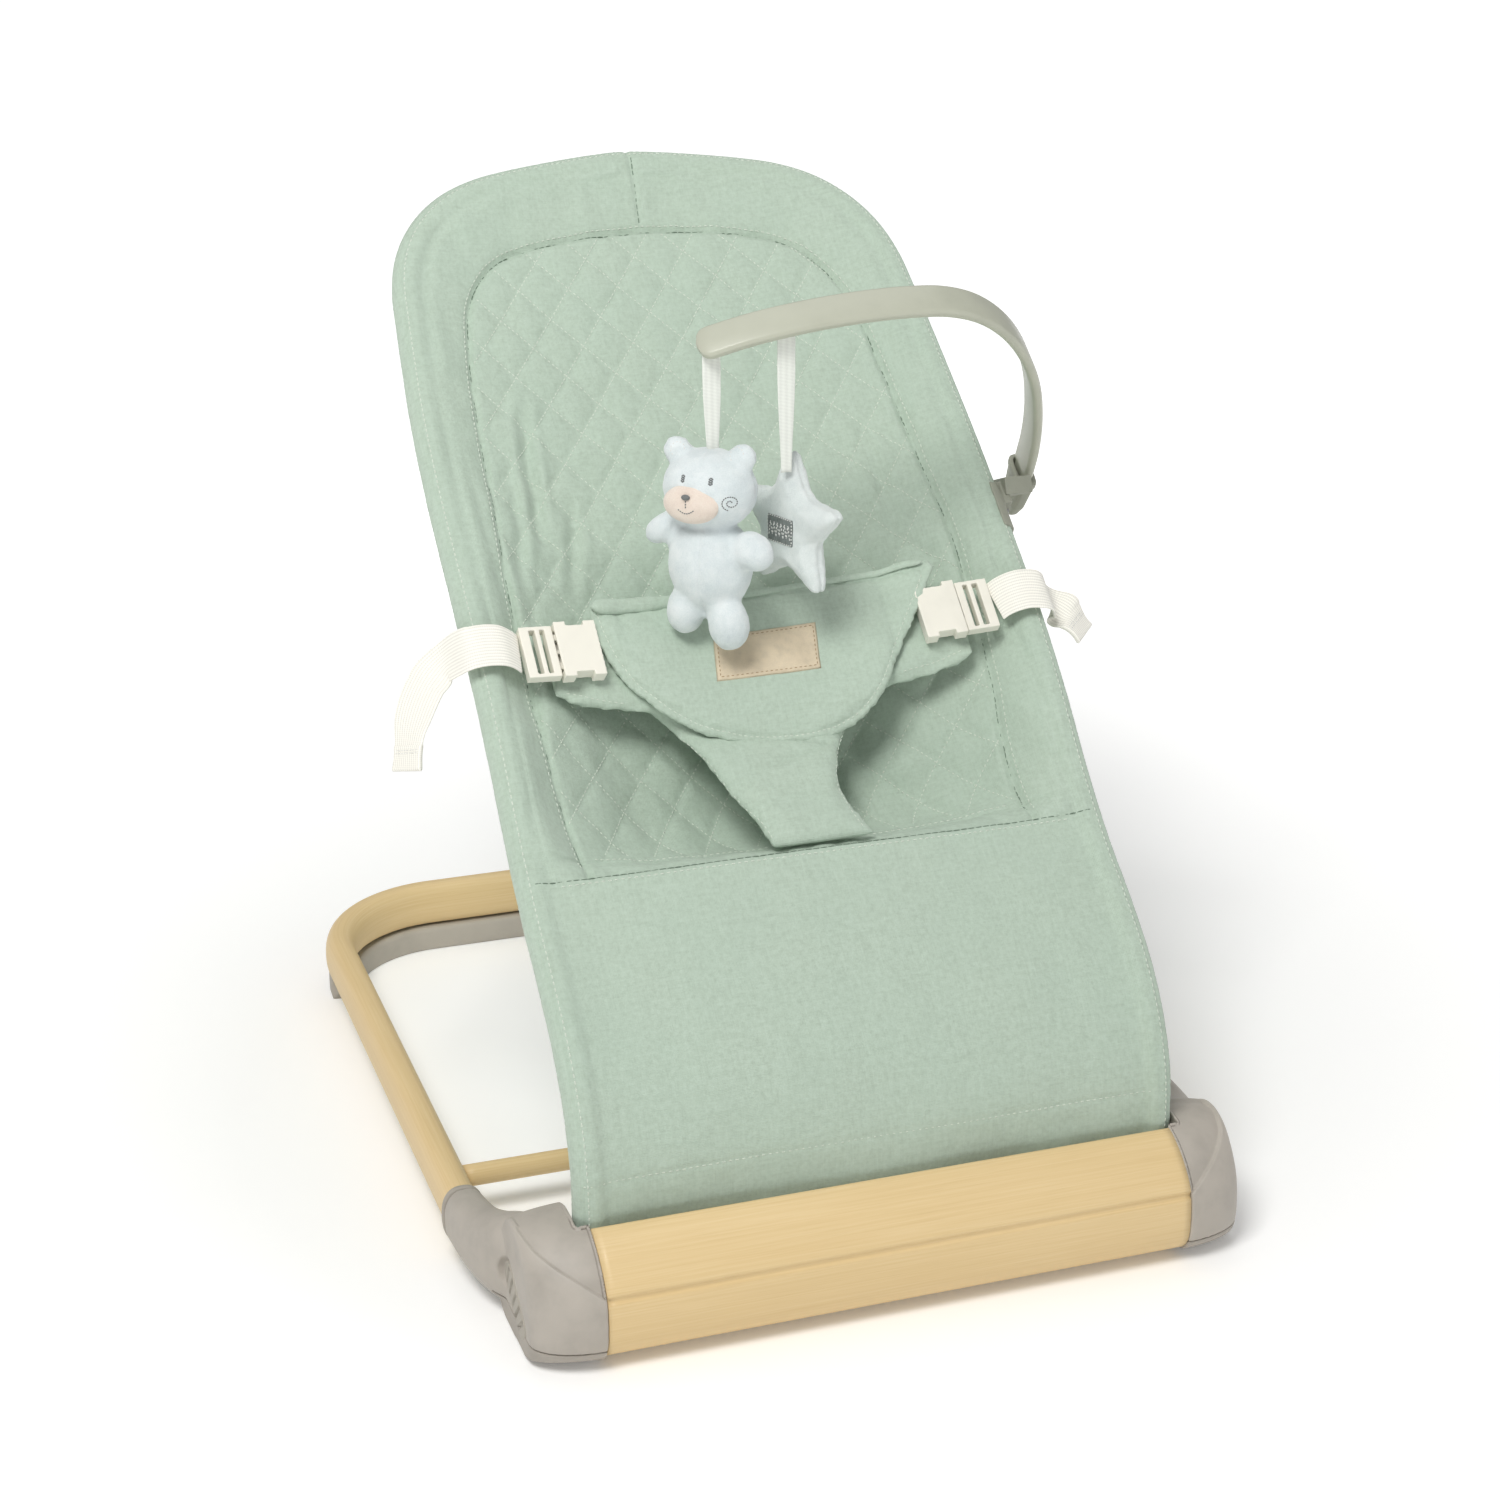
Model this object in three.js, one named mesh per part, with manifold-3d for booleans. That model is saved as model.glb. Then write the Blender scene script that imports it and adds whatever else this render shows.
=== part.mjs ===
// Baby bouncer seat: U-shaped base loop with a front beam and two corner hubs,
// an inverted-U seat frame hinged in the hubs, a slung fabric cover, a waist
// belt with two buckles, and a toy bar with two hanging plush toys.
// Millimetres, +Z up. X = 0 is the plane of symmetry, the front faces -Y,
// and the origin is on the floor under the middle of the footprint.
import * as THREE from 'three';
import { mergeVertices } from 'three/addons/utils/BufferGeometryUtils.js';
import Module from 'manifold-3d';

const wasm = await Module();
wasm.setup();

// ---------------------------------------------------------------- dimensions
const GAP = 0.35;                 // clearance between neighbouring pieces
// base loop (flat-oval tube)
const LOOP_X = 239.3;             // half distance between the side tubes
const LOOP_A = 11.1;              // half width of the tube section
const LOOP_B = 16.9;              // half height of the tube section
const LOOP_REAR_Y = 307.1;        // centre of the rear run
const LOOP_CORNER_R = 86;         // centreline radius of the rear corners
const LOOP_Z_FRONT = 33.0;        // centre height at the front end
const LOOP_Z_REAR = 36.4;         // centre height at the rear run
const LOOP_FRONT_Y = -212;        // front end, inside the hub neck
// rear foot strip
const FOOT_TOP_Z = 18.6;
const FOOT_HALF_W = 11.0;
// cross tube
const CROSS_Y = -109.5, CROSS_Z = 29, CROSS_R = 7.25, CROSS_HALF = 227.6;
// front beam and the steel rail inside it
const BEAM_HALF = 189;
const RAIL_Y = -297.5, RAIL_Z = 38, RAIL_R = 11, RAIL_HALF = 213.6;
// hub
const HUB_IN = 189.35, HUB_OUT = 232;
const SPLIT_Z = 11;               // joint between hub housing and lower shell
const NOTCH_X = 197.3, NOTCH_Y = -278.2;
const PIVOT_Y = -266, PIVOT_Z = 43.4;
const PIN_R = 4, DISC_R = 17, DISC_X0 = 194.4, DISC_X1 = 199.6;
// lock button
const BTN_Y = -262, BTN_Z = 27.5, BTN_LEN = 54, BTN_W = 21;
const BTN_ANG = 0.61;             // tilt of the long axis, radians
// seat frame
const LEG_X = 185.5;              // half distance between the seat legs
const SEAT_R = 8;                 // seat tube radius
const SLEEVE_R = 10.5;            // outside radius of the fabric sleeve
const SLEEVE_BORE = 8.5;
const HEM_Z = 79;                 // lower edge of the fabric
const RUNG_Z = 68, RUNG_R = 5;
// top of the seat lies in a plane sloping 41.25 degrees
const TP_Y = 124, TP_Z = 485.7, TP_C = 0.75189, TP_S = 0.65929;
// toy bar: foot point and plane leaning 36 degrees forward
const BAR_FOOT = [223.9, 50.2, 418.3];
const BAR_LEAN = 36 * Math.PI / 180;
const BAR_W = 24, BAR_T = 6.5;

// ------------------------------------------------------------------- helpers
const V = (x, y, z) => new THREE.Vector3(x, y, z);
const group = new THREE.Group();
group.name = 'bouncer_seat';

function clean(geo) {
  const g = geo.index ? geo.toNonIndexed() : geo.clone();
  for (const k of Object.keys(g.attributes)) if (k !== 'position') g.deleteAttribute(k);
  return mergeVertices(g, 1e-4);
}
function volume(g) {
  const p = g.attributes.position, ix = g.index.array;
  let s = 0;
  const a = V(), b = V(), c = V();
  for (let i = 0; i < ix.length; i += 3) {
    a.fromBufferAttribute(p, ix[i]); b.fromBufferAttribute(p, ix[i + 1]); c.fromBufferAttribute(p, ix[i + 2]);
    s += a.dot(b.cross(c)) / 6;
  }
  return s;
}
function outward(g) {
  if (volume(g) < 0) {
    const ix = g.index.array;
    for (let i = 0; i < ix.length; i += 3) { const t = ix[i]; ix[i] = ix[i + 1]; ix[i + 1] = t; }
  }
  return g;
}
function solid(geo) {
  const g = outward(clean(geo));
  return new wasm.Manifold(new wasm.Mesh({
    numProp: 3,
    vertProperties: new Float32Array(g.attributes.position.array),
    triVerts: new Uint32Array(g.index.array),
  }));
}
function geom(m) {
  const mesh = m.getMesh();
  const g = new THREE.BufferGeometry();
  const n = mesh.numProp, src = mesh.vertProperties, pos = new Float32Array(src.length / n * 3);
  for (let i = 0; i < pos.length / 3; i++) for (let k = 0; k < 3; k++) pos[i * 3 + k] = src[i * n + k];
  g.setAttribute('position', new THREE.BufferAttribute(pos, 3));
  g.setIndex(new THREE.BufferAttribute(new Uint32Array(mesh.triVerts), 1));
  return g;
}
function mirrorX(geo) {
  const g = geo.clone();
  g.applyMatrix4(new THREE.Matrix4().makeScale(-1, 1, 1));
  return outward(clean(g));
}
function add(name, geo, colour, roughness = 0.6, metalness = 0) {
  const g = outward(clean(geo));
  g.computeVertexNormals();
  const mesh = new THREE.Mesh(g, new THREE.MeshStandardMaterial({ color: colour, roughness, metalness, flatShading: true }));
  mesh.name = name;
  group.add(mesh);
  return mesh;
}
// closed solid through a list of rings with the same number of points
function loft(rings, closed = false) {
  const n = rings[0].length, m = rings.length, pos = [], idx = [];
  for (const r of rings) for (const p of r) pos.push(p.x, p.y, p.z);
  const last = closed ? m : m - 1;
  for (let j = 0; j < last; j++) {
    const j2 = (j + 1) % m;
    for (let i = 0; i < n; i++) {
      const a = j * n + i, b = j * n + (i + 1) % n, c = j2 * n + i, d = j2 * n + (i + 1) % n;
      idx.push(a, b, d, a, d, c);
    }
  }
  if (!closed) {
    for (const [j, flip] of [[0, true], [m - 1, false]]) {
      const r = rings[j], c = r.reduce((s, p) => s.add(p), V(0, 0, 0)).multiplyScalar(1 / n);
      const ci = pos.length / 3;
      pos.push(c.x, c.y, c.z);
      for (let i = 0; i < n; i++) {
        const a = j * n + i, b = j * n + (i + 1) % n;
        if (flip) idx.push(ci, b, a); else idx.push(ci, a, b);
      }
    }
  }
  const g = new THREE.BufferGeometry();
  g.setAttribute('position', new THREE.BufferAttribute(new Float32Array(pos), 3));
  g.setIndex(idx);
  return outward(clean(g));
}
// flat-capped prism of a polygon given in two axes, swept along the third
function prism(points, axis, from, to) {
  const map = axis === 'x' ? (t, [a, b]) => V(t, a, b) : axis === 'y' ? (t, [a, b]) => V(a, t, b) : (t, [a, b]) => V(a, b, t);
  const contour = points.map(([a, b]) => new THREE.Vector2(a, b));
  const tris = THREE.ShapeUtils.triangulateShape(contour, []);
  const n = points.length, pos = [], idx = [];
  for (const t of [from, to]) for (const p of points) { const q = map(t, p); pos.push(q.x, q.y, q.z); }
  for (let i = 0; i < n; i++) {
    const j = (i + 1) % n;
    idx.push(i, j, n + j, i, n + j, n + i);
  }
  // end caps, wound so that the sides and the caps agree
  const area = THREE.ShapeUtils.area(contour);
  for (const [a, b, c] of tris) {
    const s = ((points[b][0] - points[a][0]) * (points[c][1] - points[a][1]) - (points[c][0] - points[a][0]) * (points[b][1] - points[a][1]));
    const same = (s > 0) === (area > 0);
    const [p, q, r] = same ? [a, b, c] : [a, c, b];
    idx.push(p, r, q, n + p, n + q, n + r);
  }
  const g = new THREE.BufferGeometry();
  g.setAttribute('position', new THREE.BufferAttribute(new Float32Array(pos), 3));
  g.setIndex(idx);
  return outward(clean(g));
}
const cylX = (r, x0, x1, y, z, seg = 20) => {
  const g = new THREE.CylinderGeometry(r, r, x1 - x0, seg);
  g.rotateZ(Math.PI / 2);
  g.translate((x0 + x1) / 2, y, z);
  return g;
};
const cylZ = (r, z0, z1, x, y, seg = 16) => {
  const g = new THREE.CylinderGeometry(r, r, z1 - z0, seg);
  g.rotateX(Math.PI / 2);
  g.translate(x, y, (z0 + z1) / 2);
  return g;
};
const box = (x0, x1, y0, y1, z0, z1) => {
  const g = new THREE.BoxGeometry(x1 - x0, y1 - y0, z1 - z0);
  g.translate((x0 + x1) / 2, (y0 + y1) / 2, (z0 + z1) / 2);
  return g;
};
const lerp = (a, b, t) => a + (b - a) * t;
function interp(table, x) {           // piecewise linear on [[x, y], ...]
  if (x <= table[0][0]) return table[0][1];
  for (let i = 1; i < table.length; i++) {
    if (x <= table[i][0]) return lerp(table[i - 1][1], table[i][1], (x - table[i - 1][0]) / (table[i][0] - table[i - 1][0]));
  }
  return table[table.length - 1][1];
}
// flat oval: superellipse ring in a plane
function oval(c, u, v, a, b, n = 16, e = 2.4) {
  const out = [];
  for (let i = 0; i < n; i++) {
    const t = (i + 0.5) / n * Math.PI * 2, ct = Math.cos(t), st = Math.sin(t);
    const x = a * Math.sign(ct) * Math.pow(Math.abs(ct), 2 / e), y = b * Math.sign(st) * Math.pow(Math.abs(st), 2 / e);
    out.push(c.clone().addScaledVector(u, x).addScaledVector(v, y));
  }
  return out;
}
// frames that don't twist along a list of points
function frames(pts, first) {
  const out = [];
  let u = first.clone();
  for (let i = 0; i < pts.length; i++) {
    const a = pts[Math.max(0, i - 1)], b = pts[Math.min(pts.length - 1, i + 1)];
    const t = b.clone().sub(a).normalize();
    u = u.clone().addScaledVector(t, -u.dot(t)).normalize();
    out.push({ p: pts[i], t, u, v: t.clone().cross(u) });
  }
  return out;
}
function tube(pts, r, seg, first = V(0, 1, 0)) {
  return loft(frames(pts, first).map(f => oval(f.p, f.u, f.v, r, r, seg, 2)));
}

// colours
const WOOD = 0xe0c690, GREY = 0xbcb6aa, GREY_D = 0xa29c8f, RUBBER = 0x77736c, STEEL = 0x9a9a98;
const FABRIC = 0xafbdab, CREAM = 0xe6e1d5, GREIGE = 0xc3c5b1, BRACKET = 0x9b9e90, TAN = 0xc9b596, PLUSH = 0xe6eaea, PLUSH_D = 0xc7d0d2;

// ----------------------------------------------------------------- base loop
const loopZ = y => lerp(LOOP_Z_FRONT, LOOP_Z_REAR, Math.min(1, (y - LOOP_FRONT_Y) / (LOOP_REAR_Y - LOOP_FRONT_Y)));
function loopPath(yStart, arcSteps = 9) {
  const pts = [V(LOOP_X, yStart, loopZ(yStart))];
  const cy = LOOP_REAR_Y - LOOP_CORNER_R, cx = LOOP_X - LOOP_CORNER_R;
  if (yStart < -60) pts.push(V(LOOP_X, 0, loopZ(0)));
  for (let i = 0; i <= arcSteps; i++) {
    const a = i / arcSteps * Math.PI / 2;
    const y = cy + LOOP_CORNER_R * Math.sin(a);
    pts.push(V(cx + LOOP_CORNER_R * Math.cos(a), y, loopZ(y)));
  }
  const left = pts.slice().reverse().map(p => V(-p.x, p.y, p.z));
  return pts.concat(left);
}
function loopRings(pts, a, b, n = 16) {
  return pts.map((p, i) => {
    const q = pts[Math.max(0, i - 1)], r = pts[Math.min(pts.length - 1, i + 1)];
    const t = r.clone().sub(q); t.z = 0; t.normalize();
    return oval(p, V(t.y, -t.x, 0), V(0, 0, 1), a, b, n);
  });
}
add('base_loop_tube', loft(loopRings(loopPath(LOOP_FRONT_Y), LOOP_A, LOOP_B)), WOOD, 0.5);

// moulded foot strip under the rear run, wrapping both corners
{
  const cy = LOOP_REAR_Y - LOOP_CORNER_R, cx = LOOP_X - LOOP_CORNER_R;
  const pts = [];
  for (let i = 0; i <= 9; i++) {
    const a = (8 + 82 * i / 9) * Math.PI / 180;
    pts.push(V(cx + LOOP_CORNER_R * Math.cos(a), cy + LOOP_CORNER_R * Math.sin(a), 0));
  }
  const all = pts.concat(pts.slice().reverse().map(p => V(-p.x, p.y, 0)));
  const rings = all.map((p, i) => {
    const q = all[Math.max(0, i - 1)], r = all[Math.min(all.length - 1, i + 1)];
    const t = r.clone().sub(q).normalize(), u = V(t.y, -t.x, 0);
    const end = (i === 0 || i === all.length - 1) ? 0.72 : 1;
    const w = FOOT_HALF_W * end, z = FOOT_TOP_Z;
    return [[-w, 2], [-w + 2, 0], [w - 2, 0], [w, 2], [w, z - 3], [w - 3.5, z], [-w + 3.5, z], [-w, z - 3]]
      .map(([a, b]) => V(p.x + u.x * a, p.y + u.y * a, b));
  });
  add('rear_foot_strip', loft(rings), GREY_D, 0.7);
}
add('cross_tube', cylX(CROSS_R, -CROSS_HALF, CROSS_HALF, CROSS_Y, CROSS_Z, 16), WOOD, 0.5);

// ---------------------------------------------------------------- front beam
const BEAM = [
  [-297, 4.2], [-305.5, 7], [-312, 12.5], [-315.8, 19.5], [-317, 28], [-316.6, 39], [-315.2, 47.6], [-314.0, 48.6], [-314.3, 50.4], [-315.0, 51.4],
  [-311.5, 57.5], [-306.5, 63.5], [-300, 69.5], [-292.5, 74.6], [-285.5, 78.2], [-281.4, 79.4], [-279.6, 77.6], [-279.6, 6.4], [-281.8, 4.2],
];
const railBore = solid(cylX(RAIL_R + GAP, -260, 260, RAIL_Y, RAIL_Z, 22));
add('front_beam', geom(solid(prism(BEAM, 'x', -BEAM_HALF, BEAM_HALF)).subtract(railBore)), WOOD, 0.45);
add('front_rail', geom(solid(cylX(RAIL_R, -RAIL_HALF, RAIL_HALF, RAIL_Y, RAIL_Z, 22)).subtract(solid(cylX(RAIL_R - 1.5, -RAIL_HALF - 1, RAIL_HALF + 1, RAIL_Y, RAIL_Z, 22)))), STEEL, 0.4, 0.9);

// ----------------------------------------------------------------------- hub
// section at the beam end and section at the outer face, in (y, z)
const HUB_A = [[-296, 2], [-309, 7.5], [-316, 17], [-318.0, 30], [-317.6, 42], [-315.8, 50.5], [-309.5, 61], [-300, 70.5], [-289, 77.5], [-275, 82], [-259, 83], [-246, 80], [-236, 72], [-228, 60], [-222, 45], [-220, 25], [-222, 8], [-229, 2]];
const HUB_B = [[-284, 2], [-290, 5], [-293.5, 12], [-294, 22], [-293.4, 32], [-291.5, 42], [-287.8, 52], [-281.5, 62], [-274, 70.5], [-264, 75.5], [-256, 76.5], [-247, 74.5], [-239, 68], [-231, 57], [-224, 44], [-221, 26], [-222, 8], [-229, 2]];
function hubBody() {
  const ts = [0, 0.45, 0.74, 0.91, 1];
  const rings = ts.map(t => {
    const f = 1 - Math.sqrt(Math.max(0, 1 - t * t));
    return HUB_A.map((a, i) => V(lerp(HUB_IN, HUB_OUT, t), lerp(a[0], HUB_B[i][0], f), lerp(a[1], HUB_B[i][1], f)));
  });
  return solid(loft(rings));
}
function neckBody() {
  const secs = [[-250, 216, 38, 13, 33], [-236, 219, 37, 16, 31.5], [-218, 228, 34.6, 16.3, 27], [-196, 235, 33.5, 15, 22], [-165, 239.3, 33.3, 13.5, 19.3]];
  return solid(loft(secs.map(([y, x, z, a, b]) => oval(V(x, y, z), V(1, 0, 0), V(0, 0, 1), a, b, 16))));
}
const loopStub = n => solid(loft(loopRings([V(LOOP_X, LOOP_FRONT_Y - n, loopZ(LOOP_FRONT_Y)), V(LOOP_X, -100, loopZ(-100))], LOOP_A + n, LOOP_B + n)));
function obround(len, w, y, z, ang, seg = 10) {
  const pts = [], h = len / 2 - w / 2;
  for (let i = 0; i <= seg; i++) { const a = -Math.PI / 2 + Math.PI * i / seg; pts.push([h + w / 2 * Math.cos(a), w / 2 * Math.sin(a)]); }
  for (let i = 0; i <= seg; i++) { const a = Math.PI / 2 + Math.PI * i / seg; pts.push([-h + w / 2 * Math.cos(a), w / 2 * Math.sin(a)]); }
  const c = Math.cos(ang), s = Math.sin(ang);
  return pts.map(([a, b]) => [y + a * c - b * s, z + a * s + b * c]);
}
let hub = hubBody().add(neckBody());
hub = hub.subtract(loopStub(GAP));
hub = hub.subtract(solid(box(HUB_IN - 3, NOTCH_X, NOTCH_Y, -200, 22, 120)));
hub = hub.subtract(solid(cylX(DISC_R + 0.8, DISC_X0 - 1, DISC_X1 + 0.5, PIVOT_Y, PIVOT_Z, 20)));
hub = hub.subtract(solid(cylX(PIN_R + GAP, 190, 214.5, PIVOT_Y, PIVOT_Z, 16)));
hub = hub.subtract(railBore.subtract(solid(box(-300, -100, -400, 0, 0, 100))).subtract(solid(box(RAIL_HALF + 0.5, 400, -400, 0, 0, 100))));
hub = hub.subtract(solid(prism(obround(BTN_LEN + 0.8, BTN_W + 0.8, BTN_Y, BTN_Z, BTN_ANG), 'x', 219.5, 250)));
hub = hub.subtract(solid(cylX(4.2, 201, 225, BTN_Y + 6, BTN_Z, 14)));
const splitTop = solid(box(150, 300, -400, -226.5, SPLIT_Z + 0.15, 200)).add(solid(box(150, 300, -226.6, -100, -50, 200)));
const splitLow = solid(box(150, 300, -400, -226.9, -50, SPLIT_Z - 0.15));
const screwHole = solid(cylZ(2.3, -1, 24, 204, -288, 12)).add(solid(cylZ(4.4, -1, 5.2, 204, -288, 14)));
const housing = hub.intersect(splitTop).subtract(screwHole);
const lower = hub.intersect(splitLow).subtract(screwHole);
const housingG = geom(housing), lowerG = geom(lower);
add('hub_right_housing', housingG, GREY, 0.55);
add('hub_left_housing', mirrorX(housingG), GREY, 0.55);
add('hub_right_lower_shell', lowerG, GREY_D, 0.6);
add('hub_left_lower_shell', mirrorX(lowerG), GREY_D, 0.6);
// rubber sole under each hub
{
  const outline = [[194, -289], [214, -287], [224, -279], [227, -264], [227, -232], [194, -232]];
  const sole = solid(prism(outline, 'z', 0, 1.7)).subtract(solid(cylZ(5, -1, 5, 204, -288, 14)));
  const g = geom(sole);
  add('hub_right_sole', g, RUBBER, 0.9);
  add('hub_left_sole', mirrorX(g), RUBBER, 0.9);
  const screw = geom(solid(cylZ(1.9, 4, 23.5, 204, -288, 12)).add(solid(cylZ(4, 2.2, 4.8, 204, -288, 14))));
  add('hub_right_screw', screw, STEEL, 0.4, 0.9);
  add('hub_left_screw', mirrorX(screw), STEEL, 0.4, 0.9);
}
// trim collar where the side tube leaves the neck
{
  const outer = loft([[-164.6, 13.7, 19.5], [-159.5, 13.2, 19.0]].map(([y, a, b]) => oval(V(LOOP_X, y, loopZ(y)), V(1, 0, 0), V(0, 0, 1), a, b, 18)));
  const ring = geom(solid(outer).subtract(loopStub(GAP)));
  add('tube_collar_right', ring, GREY, 0.55);
  add('tube_collar_left', mirrorX(ring), GREY, 0.55);
}
// recline lock: button with stem, return spring
{
  const cap = solid(prism(obround(BTN_LEN, BTN_W, BTN_Y, BTN_Z, BTN_ANG), 'x', 228.4, 233.2));
  const stem = solid(cylX(3.6, 205.2, 229, BTN_Y + 6, BTN_Z, 14));
  const ribs = [];
  for (let i = 0; i < 5; i++) {
    const k = -16 + i * 8, c = Math.cos(BTN_ANG), s = Math.sin(BTN_ANG);
    const g = new THREE.BoxGeometry(3, 1.1, 15);
    g.rotateX(BTN_ANG + 0.25);
    g.translate(233.4, BTN_Y + k * c, BTN_Z + k * s);
    ribs.push(solid(g));
  }
  let b = cap.add(stem);
  for (const r of ribs) b = b.subtract(r);
  const g = geom(b);
  add('lock_button_right', g, GREY_D, 0.55);
  add('lock_button_left', mirrorX(g), GREY_D, 0.55);
  const coil = [];
  const turns = 2.5, per = 9, n = Math.round(turns * per);
  for (let i = 0; i <= n; i++) {
    const a = i / per * Math.PI * 2;
    coil.push(V(224.5 + 3.1 * i / n, BTN_Y + 6 + 5.2 * Math.cos(a), BTN_Z + 5.2 * Math.sin(a)));
  }
  const spring = tube(coil, 0.5, 5, V(1, 0, 0));
  add('button_spring_right', spring, STEEL, 0.35, 0.95);
  add('button_spring_left', mirrorX(spring), STEEL, 0.35, 0.95);
}
// pivot pins
{
  const pin = geom(solid(cylX(PIN_R, 173, 213.8, PIVOT_Y, PIVOT_Z, 16)).add(solid(cylX(7.5, 171.5, 175, PIVOT_Y, PIVOT_Z, 18))));
  add('pivot_pin_right', pin, STEEL, 0.35, 0.95);
  add('pivot_pin_left', mirrorX(pin), STEEL, 0.35, 0.95);
}

// ---------------------------------------------------------------- seat frame
const tp = (x, s) => V(x, TP_Y + TP_C * s, TP_Z + TP_S * s);
const legCtl = [
  V(LEG_X, PIVOT_Y, 36), V(LEG_X, PIVOT_Y, 60), V(LEG_X, -265.8, 84), V(LEG_X, -264, 108), V(LEG_X, -257, 130), V(LEG_X, -246, 151),
  V(LEG_X, -229, 173), V(LEG_X, -200, 199.5), V(LEG_X, -164, 228), V(LEG_X, -128, 263), V(LEG_X, -92, 303.5), V(LEG_X, -54, 341),
  V(LEG_X, 0, 385.5), V(185.2, 60, 433), tp(183, -18), tp(180.4, 22), tp(177.5, 60), tp(175, 85), tp(169.5, 107), tp(161, 125),
  tp(148, 142), tp(130, 156.5), tp(108, 166.5), tp(86, 172), tp(58, 177), tp(26, 181.5), tp(0, 183.5),
];
const uCtl = legCtl.concat(legCtl.slice(0, -1).reverse().map(p => V(-p.x, p.y, p.z)));
const uCurve = new THREE.CatmullRomCurve3(uCtl, false, 'centripetal');
function uPath(z0) {
  if (z0 > 40) {                                 // same stations as the tube, cut off at z0
    const all = uPath(36), keep = all.filter(p => p.z > z0 + 6);
    const cut = (a, b) => a.clone().lerp(b, (z0 - a.z) / (b.z - a.z));
    const i = all.indexOf(keep[0]), j = all.indexOf(keep[keep.length - 1]);
    let i0 = i - 1, j0 = j + 1;
    return [cut(all[i0], all[i]), ...keep, cut(all[j0], all[j])];
  }
  const pts = uCurve.getSpacedPoints(1200).filter(p => p.z >= z0 - 1e-6);
  // keep a point only where the direction has turned or the run is long
  const out = [pts[0]];
  let i = 0;
  while (i < pts.length - 1) {
    let j = i + 1;
    const t0 = pts[i + 1].clone().sub(pts[i]).normalize();
    while (j < pts.length - 1) {
      const t = pts[j + 1].clone().sub(pts[j]).normalize();
      if (t.dot(t0) < Math.cos(0.17) || pts[j].distanceTo(pts[i]) > 85) break;
      j++;
    }
    out.push(pts[j]);
    i = j;
  }
  return out;
}
{
  const bore = solid(cylX(PIN_R + GAP, -400, 400, PIVOT_Y, PIVOT_Z, 16));
  const g = solid(tube(uPath(36), SEAT_R, 10, V(0, 1, 0))).subtract(bore);
  add('seat_tube', geom(g), STEEL, 0.45, 0.8);
}
add('seat_lower_rung', cylX(RUNG_R, -(LEG_X - SEAT_R - 0.4), LEG_X - SEAT_R - 0.4, PIVOT_Y, RUNG_Z, 12), STEEL, 0.45, 0.8);
// toothed hinge discs keyed to the legs
{
  const pts = [];
  for (let i = 0; i < 20; i++) {
    const a = i / 20 * Math.PI * 2, r = DISC_R - 0.2;
    pts.push([PIVOT_Y + r * Math.cos(a - 0.1), PIVOT_Z + r * Math.sin(a - 0.1)], [PIVOT_Y + (r - 2.4) * Math.cos(a + 0.1), PIVOT_Z + (r - 2.4) * Math.sin(a + 0.1)]);
  }
  const disc = geom(solid(prism(pts, 'x', DISC_X0, DISC_X1)).subtract(solid(cylX(PIN_R + GAP, 190, 210, PIVOT_Y, PIVOT_Z, 16))));
  add('hinge_disc_right', disc, STEEL, 0.4, 0.9);
  add('hinge_disc_left', mirrorX(disc), STEEL, 0.4, 0.9);
}

// -------------------------------------------------------------- fabric cover
// toy bar bracket: saddle on the right leg, arm and socket
const seg = (() => { const a = uPath(36); const i = a.findIndex(p => p.y > 18); return [a[i - 1], a[i]]; })();
const QT = seg[1].clone().sub(seg[0]).normalize();   // leg direction at the saddle
const Q = seg[0].clone().lerp(seg[1], (18 - seg[0].y) / (seg[1].y - seg[0].y));   // centre of the saddle on the leg
const QN = V(0, -QT.z, QT.y);      // square to it, up and forward
const place = (g, o, ex, ey, ez) => { g.applyMatrix4(new THREE.Matrix4().makeBasis(ex, ey, ez).setPosition(o)); return g; };
function obBox(o, ex, ey, ez, a, b, c) {         // box of half sizes a, b, c
  return place(new THREE.BoxGeometry(2 * a, 2 * b, 2 * c), o, ex, ey, ez);
}
const EX = V(1, 0, 0);
const cylT = (r, h, n) => place(new THREE.CylinderGeometry(r, r, h, n), Q, EX, QT, QN);
const slit = solid(cylT(15, 46, 20)).intersect(solid(obBox(Q.clone().addScaledVector(EX, 11.4), EX, QT, QN, 10.5, 23, 16)));
{
  const path = uPath(HEM_Z);
  const outer = solid(tube(path, SLEEVE_R, 10, V(0, 1, 0)));
  const ext = [path[0].clone().add(V(0, 0, -3)), ...path, path[path.length - 1].clone().add(V(0, 0, -3))];
  const inner = solid(tube(ext, SLEEVE_BORE, 10, V(0, 1, 0)));
  add('cover_sleeve', geom(outer.subtract(inner).subtract(slit)), FABRIC, 0.95);
}
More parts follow.
